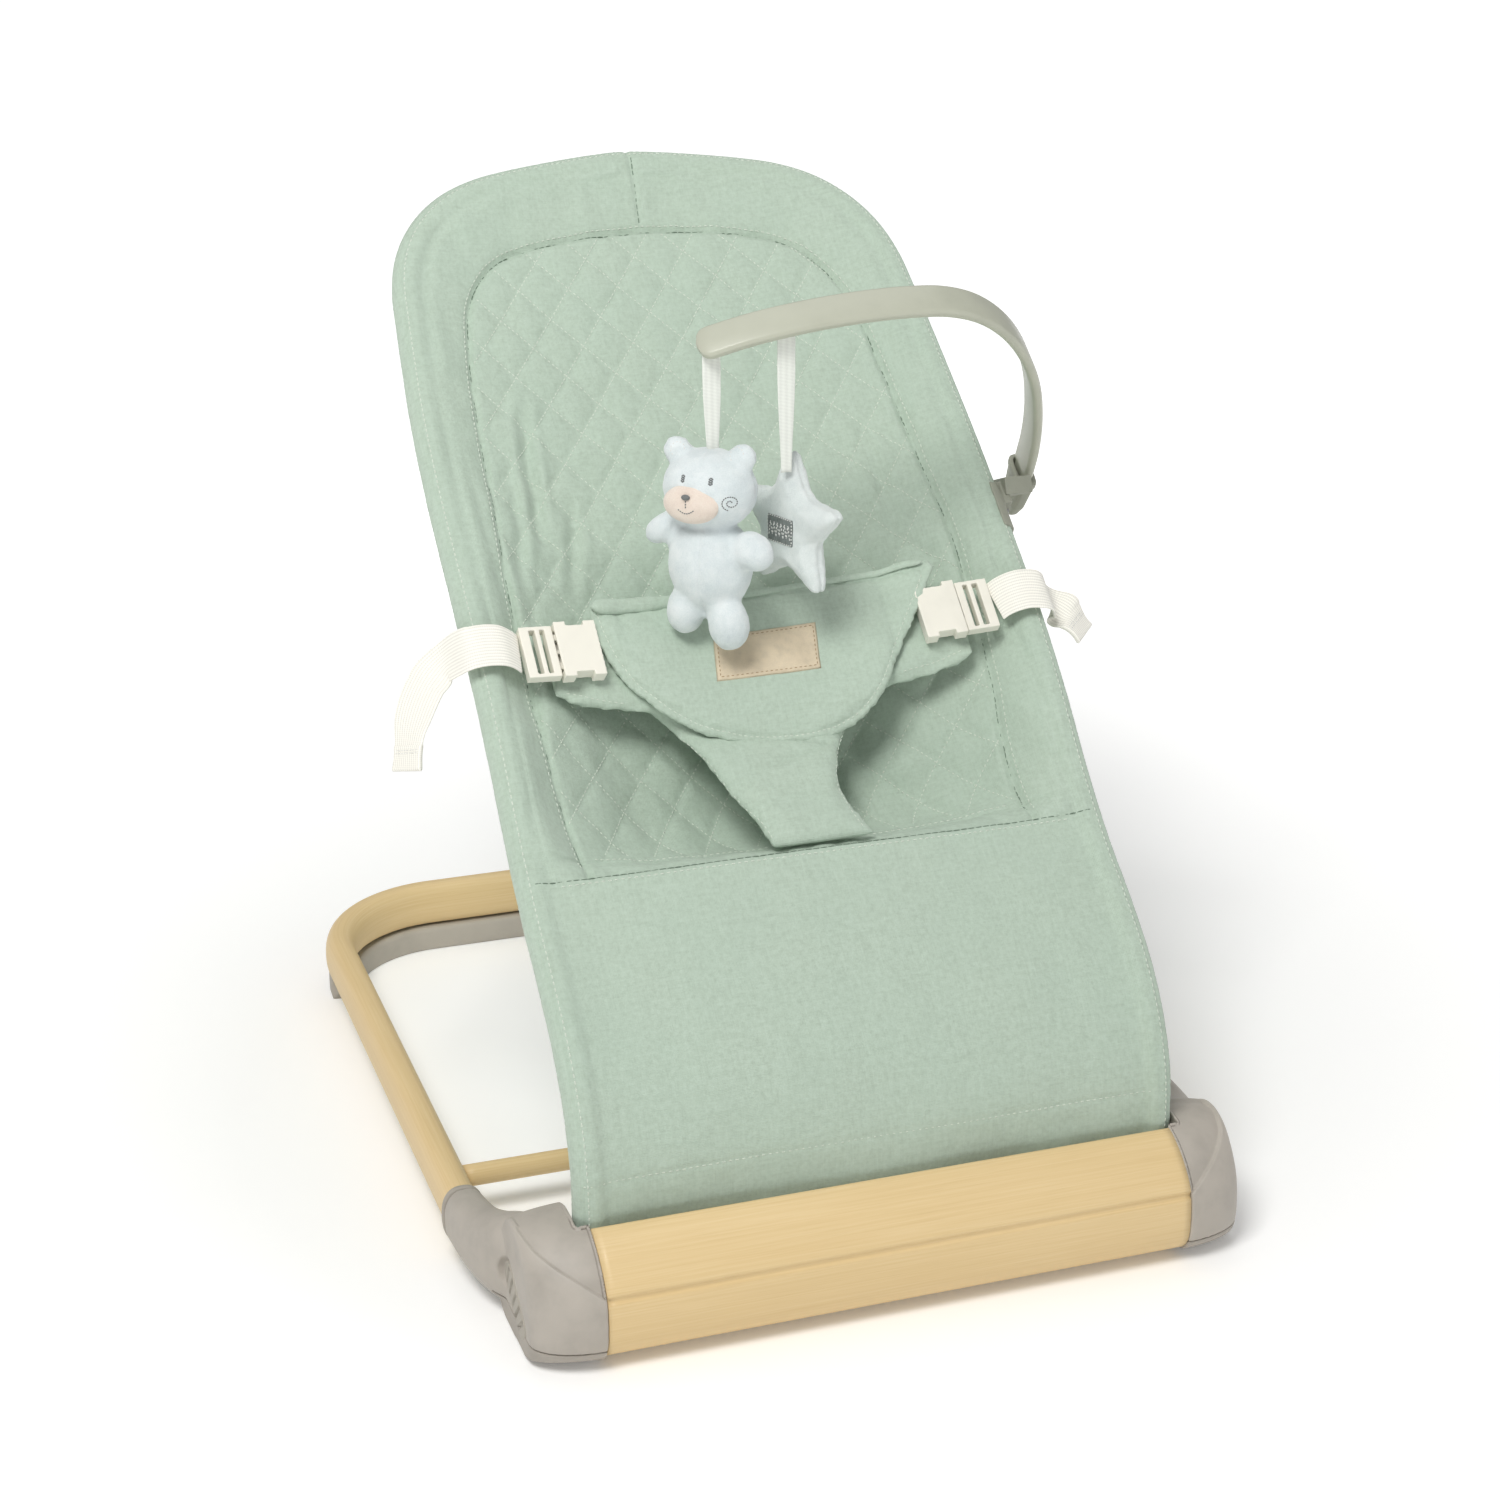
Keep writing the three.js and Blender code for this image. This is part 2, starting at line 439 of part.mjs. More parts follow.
// profile of the seat plane, used by the cover panels
const prof = new THREE.CatmullRomCurve3(legCtl.slice(1, 15).map(p => V(0, p.y, p.z)).concat([tp(0, 22), tp(0, 60), tp(0, 100), tp(0, 140), tp(0, 200)]), false, 'centripetal');
const profPts = prof.getSpacedPoints(900);
function profAt(z) {
  let i = 0;
  while (i < profPts.length - 2 && profPts[i + 1].z < z) i++;
  const a = profPts[i], b = profPts[i + 1], k = THREE.MathUtils.clamp((z - a.z) / (b.z - a.z), 0, 1);
  const t = b.clone().sub(a).normalize();
  return { p: a.clone().lerp(b, k), t, n: V(0, -t.z, t.y) };
}
function slab(zs, width, offset, nx, thick) {    // sheet solid, grid of zs by nx
  const top = [], bot = [];
  for (const z of zs) {
    const f = profAt(z), w = width(z);
    const rt = [], rb = [];
    for (let i = 0; i <= nx; i++) {
      const k = -1 + 2 * i / nx, o = offset(k, z);
      const c = f.p.clone().addScaledVector(f.n, o).add(V(k * w, 0, 0));
      rt.push(c.clone().addScaledVector(f.n, thick / 2));
      rb.push(c.clone().addScaledVector(f.n, -thick / 2));
    }
    top.push(rt); bot.push(rb);
  }
  return loft(top.map((r, j) => r.concat(bot[j].slice().reverse())));
}
const SEAM_Z = 245.8;
{
  const zs = [HEM_Z, 95, 112, 130, 150, 172, 195, 220, SEAM_Z - 0.4];
  add('cover_front_panel', slab(zs, () => LEG_X - SLEEVE_R - 0.5, () => 5, 2, 3.2), FABRIC, 0.95);
}
const sOf = z => (z - TP_Z) / TP_S;
const inEdge = [[-400, 174.4], [-20, 171.8], [22, 168.9], [60, 166.2], [85, 163.6], [103, 159.5], [118, 152.5], [132, 142], [144, 128], [152, 112], [158, 92], [163, 66], [167, 40], [170, 12]];
const sag = [[SEAM_Z, 3], [252, 34], [262, 56], [280, 68], [305, 68], [335, 58], [370, 42], [410, 29], [460, 20], [520, 15], [560, 10], [590, 5], [600, 2]];
{
  const low = [SEAM_Z + 0.4, 250, 256, 264, 275, 290, 308, 328, 349.7];          // bucket under the hips
  const high = [350.3, 375, 402, 432, 465, 500, 530, 550, 562, 572, 580, 586, 591, 595];   // backrest
  const w = z => interp(inEdge, sOf(z));
  const off = (k, z) => -interp(sag, z) * Math.pow(Math.max(0, 1 - Math.pow(Math.abs(k), 2.6)), 0.9);
  add('cover_bucket', slab(low, w, off, 10, 5), FABRIC, 0.95);
  add('cover_backrest', slab(high, w, off, 10, 5), FABRIC, 0.95);
}

// ---------------------------------------------------------------- waist belt
// belt frame: origin on the seat plane at strap height
const BO = V(0, -42, 355.1), BV = V(0, 0.75189, 0.65929), BN = V(0, -0.65929, 0.75189);
const bp = (x, s, o) => BO.clone().add(V(x, 0, 0)).addScaledVector(BV, s).addScaledVector(BN, o);
function sheet(outline, off, thick, cols) {      // prism of an (x, s) outline bent to off(x, s)
  // strips across x: each column gives [x, sLow, sHigh]
  const rings = cols.map(([x, lo, hi]) => {
    const r = [];
    const k = 4;
    for (let i = 0; i <= k; i++) { const s = lerp(lo, hi, i / k); r.push(bp(x, s, off(x, s) + thick / 2)); }
    for (let i = k; i >= 0; i--) { const s = lerp(lo, hi, i / k); r.push(bp(x, s, off(x, s) - thick / 2)); }
    return r;
  });
  return loft(rings);
}
const beltOff = (x, s) => -24 + 15 * Math.pow(Math.abs(x) / 140, 2) - 0.10 * Math.max(0, -s - 40) + 0 * s;
{
  const wings = sheet(null, (x, s) => beltOff(x, s), 9, [[-146, -26, 16], [-120, -34, 26], [-80, -46, 36], [-40, -52, 40], [0, -54, 41], [40, -52, 40], [80, -46, 36], [120, -38, 28], [148, -30, 16]]);
  const rows = [[-40, -46, 44], [-60, -44, 44], [-85, -38, 40], [-105, -34, 37], [-125, -31, 36], [-140, -30, 37], [-149, -31, 38]];
  const rings = rows.map(([s, x0, x1]) => {
    const r = [], k = 4;
    // the strap dips behind the seat plane and comes back up to the seam
    const o = s < -60 ? lerp(-26, -9.5, (-s - 60) / 89) : -25;
    for (let i = 0; i <= k; i++) r.push(bp(lerp(x0, x1, i / k), s, o + 4.4));
    for (let i = k; i >= 0; i--) r.push(bp(lerp(x0, x1, i / k), s, o - 4.4));
    return r;
  });
  const strap = solid(loft(rings));
  const pad = solid(wings).add(strap);
  add('belt_pad', geom(pad), FABRIC, 0.95);
  const flap = sheet(null, (x, s) => beltOff(x, s) + 11.2, 6.6, [[-104, -26, 30], [-90, -50, 38], [-60, -66, 41], [-25, -70, 42], [10, -70, 42], [45, -64, 41], [70, -52, 39], [88, -20, 37], [100, 18, 36]]);
  add('belt_flap', flap, FABRIC, 0.95);
  const label = sheet(null, (x, s) => beltOff(x, s) + 11.2 + 3.3 + 0.5 + 0.7, 1.2, [[-33, -32, 2], [-16, -32, 2], [3, -32, 2], [21, -32, 2], [39, -32, 2]]);
  add('label_patch', label, TAN, 0.8);
}
// buckles (side release with ladder lock) and webbing
function slabAlong(path, halfW, widthDir, thick) {
  const fr = frames(path, widthDir);
  return loft(fr.map(f => {
    const u = widthDir.clone().addScaledVector(f.t, -widthDir.dot(f.t)).normalize(), v = f.t.clone().cross(u);
    return [[-1, -1], [1, -1], [1, 1], [-1, 1]].map(([a, b]) => f.p.clone().addScaledVector(u, a * halfW).addScaledVector(v, b * thick / 2));
  }));
}
const wd = BV.clone();                           // webbing width direction at the buckles
for (const side of [-1, 1]) {
  const name = side < 0 ? 'left' : 'right';
  // belt line from the wing end out over the sleeve to the tail
  const L = (x, s, o) => bp(side * x, s, o);
  const o0 = -6;
  const ex = L(1, 0, 0).sub(L(0, 0, 0)).add(BN.clone().multiplyScalar(0.10)).normalize();
  const ez = BN.clone().addScaledVector(ex, -BN.dot(ex)).normalize(), ey = ez.clone().cross(ex).normalize();
  const at = (x, s, o) => L(x, s, o);
  // receiving half, sewn to the wing
  let fem = solid(obBox(at(124, -2, o0 + 7.2), ex, ey, ez, 14, 20, 4.6));
  fem = fem.subtract(solid(obBox(at(133, -2, o0 + 7.4), ex, ey, ez, 14, 14.6, 2.9)));
  fem = fem.subtract(solid(obBox(at(124, -2, o0 + 7.2).addScaledVector(ey, 20), ex, ey, ez, 6, 3, 6))).subtract(solid(obBox(at(124, -2, o0 + 7.2).addScaledVector(ey, -20), ex, ey, ez, 6, 3, 6)));
  add(`buckle_${name}_socket`, geom(fem), CREAM, 0.4);
  // plug half with two prongs, guide and ladder-lock frame
  let plug = solid(obBox(at(150, -2, o0 + 8.6), ex, ey, ez, 11, 18.5, 3.6));
  plug = plug.subtract(solid(obBox(at(152.6, -2, o0 + 8.6), ex, ey, ez, 2.0, 16, 6))).subtract(solid(obBox(at(145.8, -2, o0 + 8.6), ex, ey, ez, 1.6, 16, 6)));
  plug = plug.add(solid(obBox(at(134.5, -2, o0 + 7.4).addScaledVector(ey, 10.5), ex, ey, ez, 7, 2.4, 2)))
    .add(solid(obBox(at(134.5, -2, o0 + 7.4).addScaledVector(ey, -10.5), ex, ey, ez, 7, 2.4, 2)))
    .add(solid(obBox(at(135, -2, o0 + 7.4), ex, ey, ez, 6.5, 1.6, 1.6)));
  add(`buckle_${name}_plug`, geom(plug), CREAM, 0.4);
}
// webbing: from the ladder lock over the sleeve and out to a free tail
{
  const left = [bp(-163.2, -1, 3.4), bp(-172, 0, 5.5), bp(-183, 1, 12.2), bp(-194, 1, 11.5), V(-206, -30, 352), V(-220, -32, 338), V(-233, -40, 315), V(-241, -52, 285)];
  const right = [bp(163.2, -1, 3.4), bp(172, 0, 5.5), bp(183, 0, 12.2), bp(195, -2, 11.4), V(207, -38, 350), V(219, -46, 342), V(228, -52, 330)];
  add('webbing_left', slabAlong(left, 15, wd, 1.6), CREAM, 0.9);
  add('webbing_right', slabAlong(right, 15, wd, 1.6), CREAM, 0.9);
}

// -------------------------------------------------------------------- toy bar
const U = V(0, -Math.sin(BAR_LEAN), Math.cos(BAR_LEAN)), W = V(0, Math.cos(BAR_LEAN), Math.sin(BAR_LEAN));
const S = V(...BAR_FOOT);
const bq = (x, u) => V(x, S.y, S.z).addScaledVector(U, u);
const barCtl = [[226, -26], [225, -10], [223.6, 6], [220.4, 32.7], [213.2, 65], [200.2, 102.1], [182.5, 133.5], [162, 157.4], [140, 173.4], [117.3, 181.4], [93, 183.2], [66.5, 182.2], [40.4, 179.2], [14.9, 174.5], [-10, 168], [-31.5, 160.1], [-42.5, 155.6]].map(([x, u]) => bq(x, u));
const barCurve = new THREE.CatmullRomCurve3(barCtl, false, 'centripetal');
{
  const pts = barCurve.getSpacedPoints(30);
  const fr = frames(pts, W);
  const L = barCurve.getLength();
  const rings = fr.map((f, i) => {
    const d = L * i / 30, tip = L - d;
    const k = Math.min(1, Math.sqrt(Math.max(0.06, tip / 12)));
    const w = (d < 28 ? 10.2 : BAR_W / 2) * k, th = (d < 28 ? 2.3 : BAR_T / 2) * Math.max(k, 0.5), v = f.t.clone().cross(W).normalize();
    return [[-1, -0.55], [-0.9, -1], [0.9, -1], [1, -0.55], [1, 0.55], [0.9, 1], [-0.9, 1], [-1, 0.55]]
      .map(([a, b]) => f.p.clone().addScaledVector(W, a * w).addScaledVector(v, b * th));
  });
  add('toy_bar', loft(rings), GREIGE, 0.45);
}
// bracket: saddle half round the leg, arm, and an open-topped socket
{
  const D = bq(226, -26).sub(bq(225, -10)).normalize();       // down the socket
  const ez = D.clone().negate(), ey = W.clone().addScaledVector(ez, -W.dot(ez)).normalize(), ex = ey.clone().cross(ez).normalize();
  const mid = bq(224.9, -17);
  let m = solid(loft([
    [0, 7.2, 15.2], [-4, 7.2, 15.2], [-7, 6.4, 14.2], [-30, 5.4, 11.5], [-42, 3.8, 7],
  ].map(([d, a, b]) => oval(bq(224.4, 0).addScaledVector(ez, d), ex, ey, a, b, 16, 4))));
  const saddle = solid(cylT(12.6, 36, 20)).subtract(solid(cylT(SEAT_R + 0.8, 60, 20)))
    .intersect(solid(obBox(Q.clone().addScaledVector(EX, 12.4), EX, QT, QN, 10, 18, 15)));
  const arm = solid(obBox(V(198, 29, 407), EX, QT, QN, 5, 9, 6)).add(solid(obBox(V(209.5, 42, 409.5), EX, V(0, 0.94, -0.34), V(0, 0.34, 0.94), 10, 20, 6))).subtract(solid(cylT(SEAT_R + 0.8, 90, 20)));
  m = m.add(arm).add(saddle);
  const pocket = solid(loft([[6, 4.1, 12.4], [-28.5, 3.2, 11.0]].map(([d, a, b]) => oval(bq(224.4, 0).addScaledVector(ez, d), ex, ey, a, b, 16, 5))));
  m = m.subtract(pocket);
  const hole = solid(place(new THREE.CylinderGeometry(2.2, 2.2, 12, 12), Q.clone().addScaledVector(EX, 12), V(0, 0, 1), EX, V(0, 1, 0)));
  m = m.subtract(hole);
  add('toy_bar_bracket', geom(m), BRACKET, 0.55);
  const screw = place(new THREE.CylinderGeometry(1.8, 1.8, 5.5, 12), Q.clone().addScaledVector(EX, 11.4), V(0, 0, 1), EX, V(0, 1, 0));
  add('bracket_screw', screw, STEEL, 0.35, 0.9);
}
// toys
function ellipsoid(c, r, seg = 12, rows = 8, rot) {
  const g = new THREE.SphereGeometry(1, seg, rows);
  g.scale(...r);
  if (rot) { g.rotateX(rot[0]); g.rotateY(rot[1]); g.rotateZ(rot[2]); }
  g.translate(...c);
  return solid(g);
}
{
  const bear = V(-36, -44, 6.5);
  const E = (x, y, z, r, rot, seg = 8, rows = 6) => ellipsoid([bear.x + x, bear.y + y, bear.z + z], r, seg, rows, rot);
  let b = E(2, 0, 447, [30, 19, 27], null, 12, 8);
  b = b.add(E(1, 0, 395, [24, 17, 36], null, 12, 8));
  b = b.add(E(-17, 0, 473, [9, 6, 9])).add(E(21, 0, 473, [9, 6, 9]));
  b = b.add(E(-25, -2, 422, [9, 9, 17], [0, 0.9, 0])).add(E(30, -3, 408, [10, 9, 17], [0, -1.0, 0]));
  b = b.add(E(-13, -3, 362, [11, 10, 18], [0, 0.15, 0])).add(E(17, -3, 357, [11, 10, 18], [0, -0.15, 0]));
  b = b.add(E(0, -15, 440, [15, 10, 12]));
  add('toy_bear', geom(b), PLUSH, 1);
  // star turned partly edge-on
  const pts = [];
  for (let i = 0; i < 10; i++) { const a = Math.PI / 2 + i * Math.PI / 5, r = i % 2 ? 30 : 56; pts.push([r * Math.cos(a), r * Math.sin(a)]); }
  const st = prism(pts, 'y', -8, 8);
    st.rotateZ(-1.22);
  st.translate(21, -42, 424);
  add('toy_star', st, PLUSH_D, 1);
  const rib = (x, y, z0, z1, ry = 0) => { const g = new THREE.BoxGeometry(11, 1.6, z1 - z0); g.rotateZ(ry); g.translate(x, y, (z0 + z1) / 2); return g; };
  const barUnder = (x) => { // lowest point of the bar above x
    let best = null;
    for (const p of barCurve.getSpacedPoints(400)) if (!best || Math.abs(p.x - x) < Math.abs(best.x - x)) if (p.z > 480) best = p;
    return best;
  };
  const pb = barUnder(-33), ps = barUnder(13);
  let rb = solid(rib(-33, pb.y, 470, pb.z - 10)), rs = solid(rib(13, ps.y, 470, ps.z - 10, -0.3));
  rb = rb.subtract(solid(geomScale(geom(b), 1.0, 0.5))); 
  rs = rs.subtract(solid(geomScale(clean(st), 1.0, 0.5)));
  add('ribbon_bear', geom(biggest(rb)), PLUSH, 1);
  add('ribbon_star', geom(biggest(rs)), PLUSH, 1);
}
function geomScale(g, k, d) { // copy lowered/raised a little so that a resting piece keeps its gap
  const c = g.clone();
  c.translate(0, 0, d);
  return c;
}
function biggest(m) {
  const parts = m.decompose();
  parts.sort((a, b) => b.volume() - a.volume());
  return parts[0];
}

export default group;
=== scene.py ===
import math
import bpy
import bmesh
import numpy as np
from mathutils import Vector, Matrix
from mathutils.bvhtree import BVHTree


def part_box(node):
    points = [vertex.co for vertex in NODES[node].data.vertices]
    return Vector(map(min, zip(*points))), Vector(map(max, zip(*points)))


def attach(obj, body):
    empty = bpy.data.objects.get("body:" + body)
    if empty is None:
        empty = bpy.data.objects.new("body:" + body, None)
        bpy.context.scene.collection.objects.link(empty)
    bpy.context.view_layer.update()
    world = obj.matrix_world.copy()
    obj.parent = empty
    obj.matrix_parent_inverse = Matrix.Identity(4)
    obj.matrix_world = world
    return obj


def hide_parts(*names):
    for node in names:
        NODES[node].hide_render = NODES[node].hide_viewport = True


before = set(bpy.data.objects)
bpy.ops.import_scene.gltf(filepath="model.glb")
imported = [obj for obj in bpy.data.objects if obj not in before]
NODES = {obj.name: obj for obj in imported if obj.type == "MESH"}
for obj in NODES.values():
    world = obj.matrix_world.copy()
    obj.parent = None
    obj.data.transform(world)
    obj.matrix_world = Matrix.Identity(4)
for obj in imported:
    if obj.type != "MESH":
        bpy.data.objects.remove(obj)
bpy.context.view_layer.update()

SCN = bpy.context.scene


# ------------------------------------------------------------------ numbers
def smooth(a, b, x):
    t = np.clip((np.asarray(x, float) - a) / (b - a), 0, 1)
    return t * t * (3 - 2 * t)


def interp(table, x):
    t = np.array(table, float)
    return np.interp(x, t[:, 0], t[:, 1])


def spline(points, n):
    """Centripetal Catmull-Rom through the points, n samples equally spaced along it."""
    P = np.array(points, float)
    P = np.vstack([2 * P[0] - P[1], P, 2 * P[-1] - P[-2]])
    out = []
    for i in range(1, len(P) - 2):
        p0, p1, p2, p3 = P[i - 1], P[i], P[i + 1], P[i + 2]
        d0, d1, d2 = [max(np.linalg.norm(b - a) ** 0.5, 1e-4) for a, b in ((p0, p1), (p1, p2), (p2, p3))]
        t1 = (p1 - p0) / d0 - (p2 - p0) / (d0 + d1) + (p2 - p1) / d1
        t2 = (p2 - p1) / d1 - (p3 - p1) / (d1 + d2) + (p3 - p2) / d2
        t1, t2 = t1 * d1, t2 * d1
        k = np.linspace(0, 1, 40, endpoint=False)[:, None]
        out.append(p1 + k * t1 + k * k * (-3 * p1 + 3 * p2 - 2 * t1 - t2) + k ** 3 * (2 * p1 - 2 * p2 + t1 + t2))
    out.append(P[-2][None])
    Q = np.vstack(out)
    return resample(Q, n)


def resample(Q, n):
    Q = np.array(Q, float)
    L = np.r_[0, np.cumsum(np.linalg.norm(np.diff(Q, axis=0), axis=1))]
    t = np.linspace(0, L[-1], n) if np.isscalar(n) else np.asarray(n) * L[-1]
    return np.stack([np.interp(t, L, Q[:, i]) for i in range(Q.shape[1])], 1)


def length(Q):
    return float(np.linalg.norm(np.diff(np.array(Q, float), axis=0), axis=1).sum())


_lat = {}


def noise(x, y, seed=0):
    """Smooth value noise, -1 to 1, one unit per cell."""
    if seed not in _lat:
        _lat[seed] = np.random.default_rng(seed + 11).uniform(-1, 1, (128, 128))
    g = _lat[seed]
    x, y = np.asarray(x, float), np.asarray(y, float)
    xi, yi = np.floor(x).astype(int), np.floor(y).astype(int)
    fx, fy = x - xi, y - yi
    fx, fy = fx ** 3 * (fx * (fx * 6 - 15) + 10), fy ** 3 * (fy * (fy * 6 - 15) + 10)
    a, b = g[xi % 128, yi % 128], g[(xi + 1) % 128, yi % 128]
    c, d = g[xi % 128, (yi + 1) % 128], g[(xi + 1) % 128, (yi + 1) % 128]
    return (a * (1 - fx) + b * fx) * (1 - fy) + (c * (1 - fx) + d * fx) * fy


def fbm(x, y, seed=0, octaves=3):
    s, k = 0, 1.0
    for o in range(octaves):
        s = s + noise(x * 2 ** o, y * 2 ** o, seed + o) * k
        k *= 0.5
    return s


def smax(a, b, k):
    return 0.5 * (a + b + np.sqrt((a - b) ** 2 + k * k))


# ------------------------------------------------------------------ meshes
def new_mesh(name, verts, faces, mat=None, uvw=None, mm=True):
    me = bpy.data.meshes.new(name)
    v = np.array(verts, float) * (0.001 if mm else 1)
    me.from_pydata(v.tolist(), [], faces.tolist() if isinstance(faces, np.ndarray) else faces)
    me.update()
    o = bpy.data.objects.new(name, me)
    SCN.collection.objects.link(o)
    if uvw is not None:
        set_uvw(o, uvw)
    if mat is not None:
        me.materials.append(mat)
    me.polygons.foreach_set("use_smooth", np.ones(len(me.polygons), bool))
    return o


def set_uvw(o, uvw):
    a = o.data.attributes.get("uvw") or o.data.attributes.new("uvw", "FLOAT_VECTOR", "POINT")
    a.data.foreach_set("vector", np.asarray(uvw, np.float32).ravel())


def outward(o):
    bm = bmesh.new()
    bm.from_mesh(o.data)
    bmesh.ops.recalc_face_normals(bm, faces=bm.faces)
    if bm.calc_volume(signed=True) < 0:
        bmesh.ops.reverse_faces(bm, faces=bm.faces)
    bm.to_mesh(o.data)
    bm.free()
    o.data.polygons.foreach_set("use_smooth", np.ones(len(o.data.polygons), bool))
    return o


def frames_along(path, up):
    P = np.array(path, float)
    T = np.gradient(P, axis=0)
    T /= np.linalg.norm(T, axis=1)[:, None]
    up = np.broadcast_to(np.array(up, float), P.shape)
    W = up - (up * T).sum(1)[:, None] * T
    W /= np.linalg.norm(W, axis=1)[:, None]
    return P, T, W, np.cross(T, W)


def sweep(name, path, section, up=(0, 0, 1), mat=None, closed=False, end_round=0.0):
    """Closed solid along a path. section: (M, 2) or (N, M, 2) of (side, up) offsets in mm."""
    P, T, W, S = frames_along(path, up)
    sec = np.array(section, float)
    if sec.ndim == 2:
        sec = np.broadcast_to(sec, (len(P),) + sec.shape)
    n, m = len(P), sec.shape[1]
    V = P[:, None] + S[:, None] * sec[..., :1] + W[:, None] * sec[..., 1:]
    along = np.r_[0, np.cumsum(np.linalg.norm(np.diff(P, axis=0), axis=1))]
    per = np.linalg.norm(np.roll(sec, -1, 1) - sec, axis=2).cumsum(1)
    uvw = np.zeros((n, m, 3))
    uvw[..., 0] = along[:, None]
    uvw[..., 1] = per - per[:, :1]
    uvw[..., 2] = sec[..., 1]
    faces = []
    i = np.arange(m)
    for j in range(n if closed else n - 1):
        a, b = j * m + i, j * m + (i + 1) % m
        c, d = ((j + 1) % n) * m + i, ((j + 1) % n) * m + (i + 1) % m
        faces.append(np.stack([a, b, d, c], 1))
    faces = np.vstack(faces).tolist()
    V, uvw = V.reshape(-1, 3), uvw.reshape(-1, 3)
    if not closed:
        for j in (0, n - 1):
            ring = list(range(j * m, j * m + m))
            faces.append(ring if j else ring[::-1])
    o = new_mesh(name, V, faces, mat, uvw / 1000)
    return outward(o)


def super_ring(a, b, e, n):
    t = np.linspace(0, 2 * np.pi, n, endpoint=False)
    c, s = np.cos(t), np.sin(t)
    return np.stack([a * np.sign(c) * np.abs(c) ** (2 / e), b * np.sign(s) * np.abs(s) ** (2 / e)], 1)


def round_rect(a, b, r, k=5):
    """Rounded rectangle, half sizes a (side) and b (up)."""
    out = []
    for cx, cy, q in ((a - r, b - r, 0), (-a + r, b - r, 1), (-a + r, -b + r, 2), (a - r, -b + r, 3)):
        t = np.linspace(q * np.pi / 2, (q + 1) * np.pi / 2, k)
        out.append(np.stack([cx + r * np.cos(t), cy + r * np.sin(t)], 1))
    return np.vstack(out)


def grid_solid(name, F, B, mat, uvw=None):
    """Closed solid of two (m, n, 3) grids that share their outer ring."""
    m, n = F.shape[:2]
    idx = np.arange(m * n).reshape(m, n)
    bid = np.full((m, n), -1)
    inner = np.zeros((m, n), bool)
    inner[1:-1, 1:-1] = True
    bid[inner] = m * n + np.arange(inner.sum())
    bid[~inner] = idx[~inner]
    q = lambda g: np.stack([g[:-1, :-1], g[:-1, 1:], g[1:, 1:], g[1:, :-1]], -1).reshape(-1, 4)
    faces = np.vstack([q(idx), q(bid)[:, ::-1]])
    V = np.vstack([F.reshape(-1, 3), B[inner]])
    u = None
    if uvw is not None:
        u = np.vstack([uvw.reshape(-1, 3), uvw[inner]])
    return outward(new_mesh(name, V, faces, mat, u))


def activate(o):
    for x in bpy.context.selected_objects:
        x.select_set(False)
    bpy.context.view_layer.objects.active = o
    o.select_set(True)


def apply_mods(o):
    """Makes the modifiers' result the object's own mesh."""
    dg = bpy.context.evaluated_depsgraph_get()
    me = bpy.data.meshes.new_from_object(o.evaluated_get(dg), depsgraph=dg)
    o.modifiers.clear()
    o.data = me
    me.polygons.foreach_set("use_smooth", np.ones(len(me.polygons), bool))
    return o


def join(objs, name):
    bm = bmesh.new()
    for o in objs:
        bm.from_mesh(o.data)
    me = bpy.data.meshes.new(name)
    bm.to_mesh(me)
    bm.free()
    mats = list(objs[0].data.materials)
    for o in objs:
        bpy.data.objects.remove(o)
    r = bpy.data.objects.new(name, me)
    SCN.collection.objects.link(r)
    for m_ in mats:
        me.materials.append(m_)
    me.polygons.foreach_set("use_smooth", np.ones(len(me.polygons), bool))
    return r


def remesh(o, voxel, smooth_iter=0, factor=0.5):
    mat = list(o.data.materials)
    m = o.modifiers.new("r", "REMESH")
    m.mode = "VOXEL"
    m.voxel_size = voxel * 0.001
    m.use_smooth_shade = True
    if smooth_iter:
        s = o.modifiers.new("s", "SMOOTH")
        s.factor = factor
        s.iterations = smooth_iter
    apply_mods(o)
    o.data.materials.clear()
    for x in mat:
        o.data.materials.append(x)
    return o


def coords(o):
    co = np.zeros(len(o.data.vertices) * 3)
    o.data.vertices.foreach_get("co", co)
    return co.reshape(-1, 3) * 1000


def set_coords(o, mm):
    o.data.vertices.foreach_set("co", (np.asarray(mm) * 0.001).ravel())
    o.data.update()


def normals(o):
    n = np.zeros(len(o.data.vertices) * 3)
    o.data.vertices.foreach_get("normal", n)
    return n.reshape(-1, 3)


def boolean(o, cutter, op="DIFFERENCE"):
    m = o.modifiers.new("b", "BOOLEAN")
    m.operation = op
    m.solver = "EXACT"
    m.object = cutter
    apply_mods(o)
    bpy.data.objects.remove(cutter)
    return o


def box(x0, x1, y0, y1, z0, z1, name="cut"):
    v = [(x, y, z) for x in (x0, x1) for y in (y0, y1) for z in (z0, z1)]
    f = [(0, 1, 3, 2), (4, 6, 7, 5), (0, 4, 5, 1), (2, 3, 7, 6), (0, 2, 6, 4), (1, 5, 7, 3)]
    return outward(new_mesh(name, v, f))


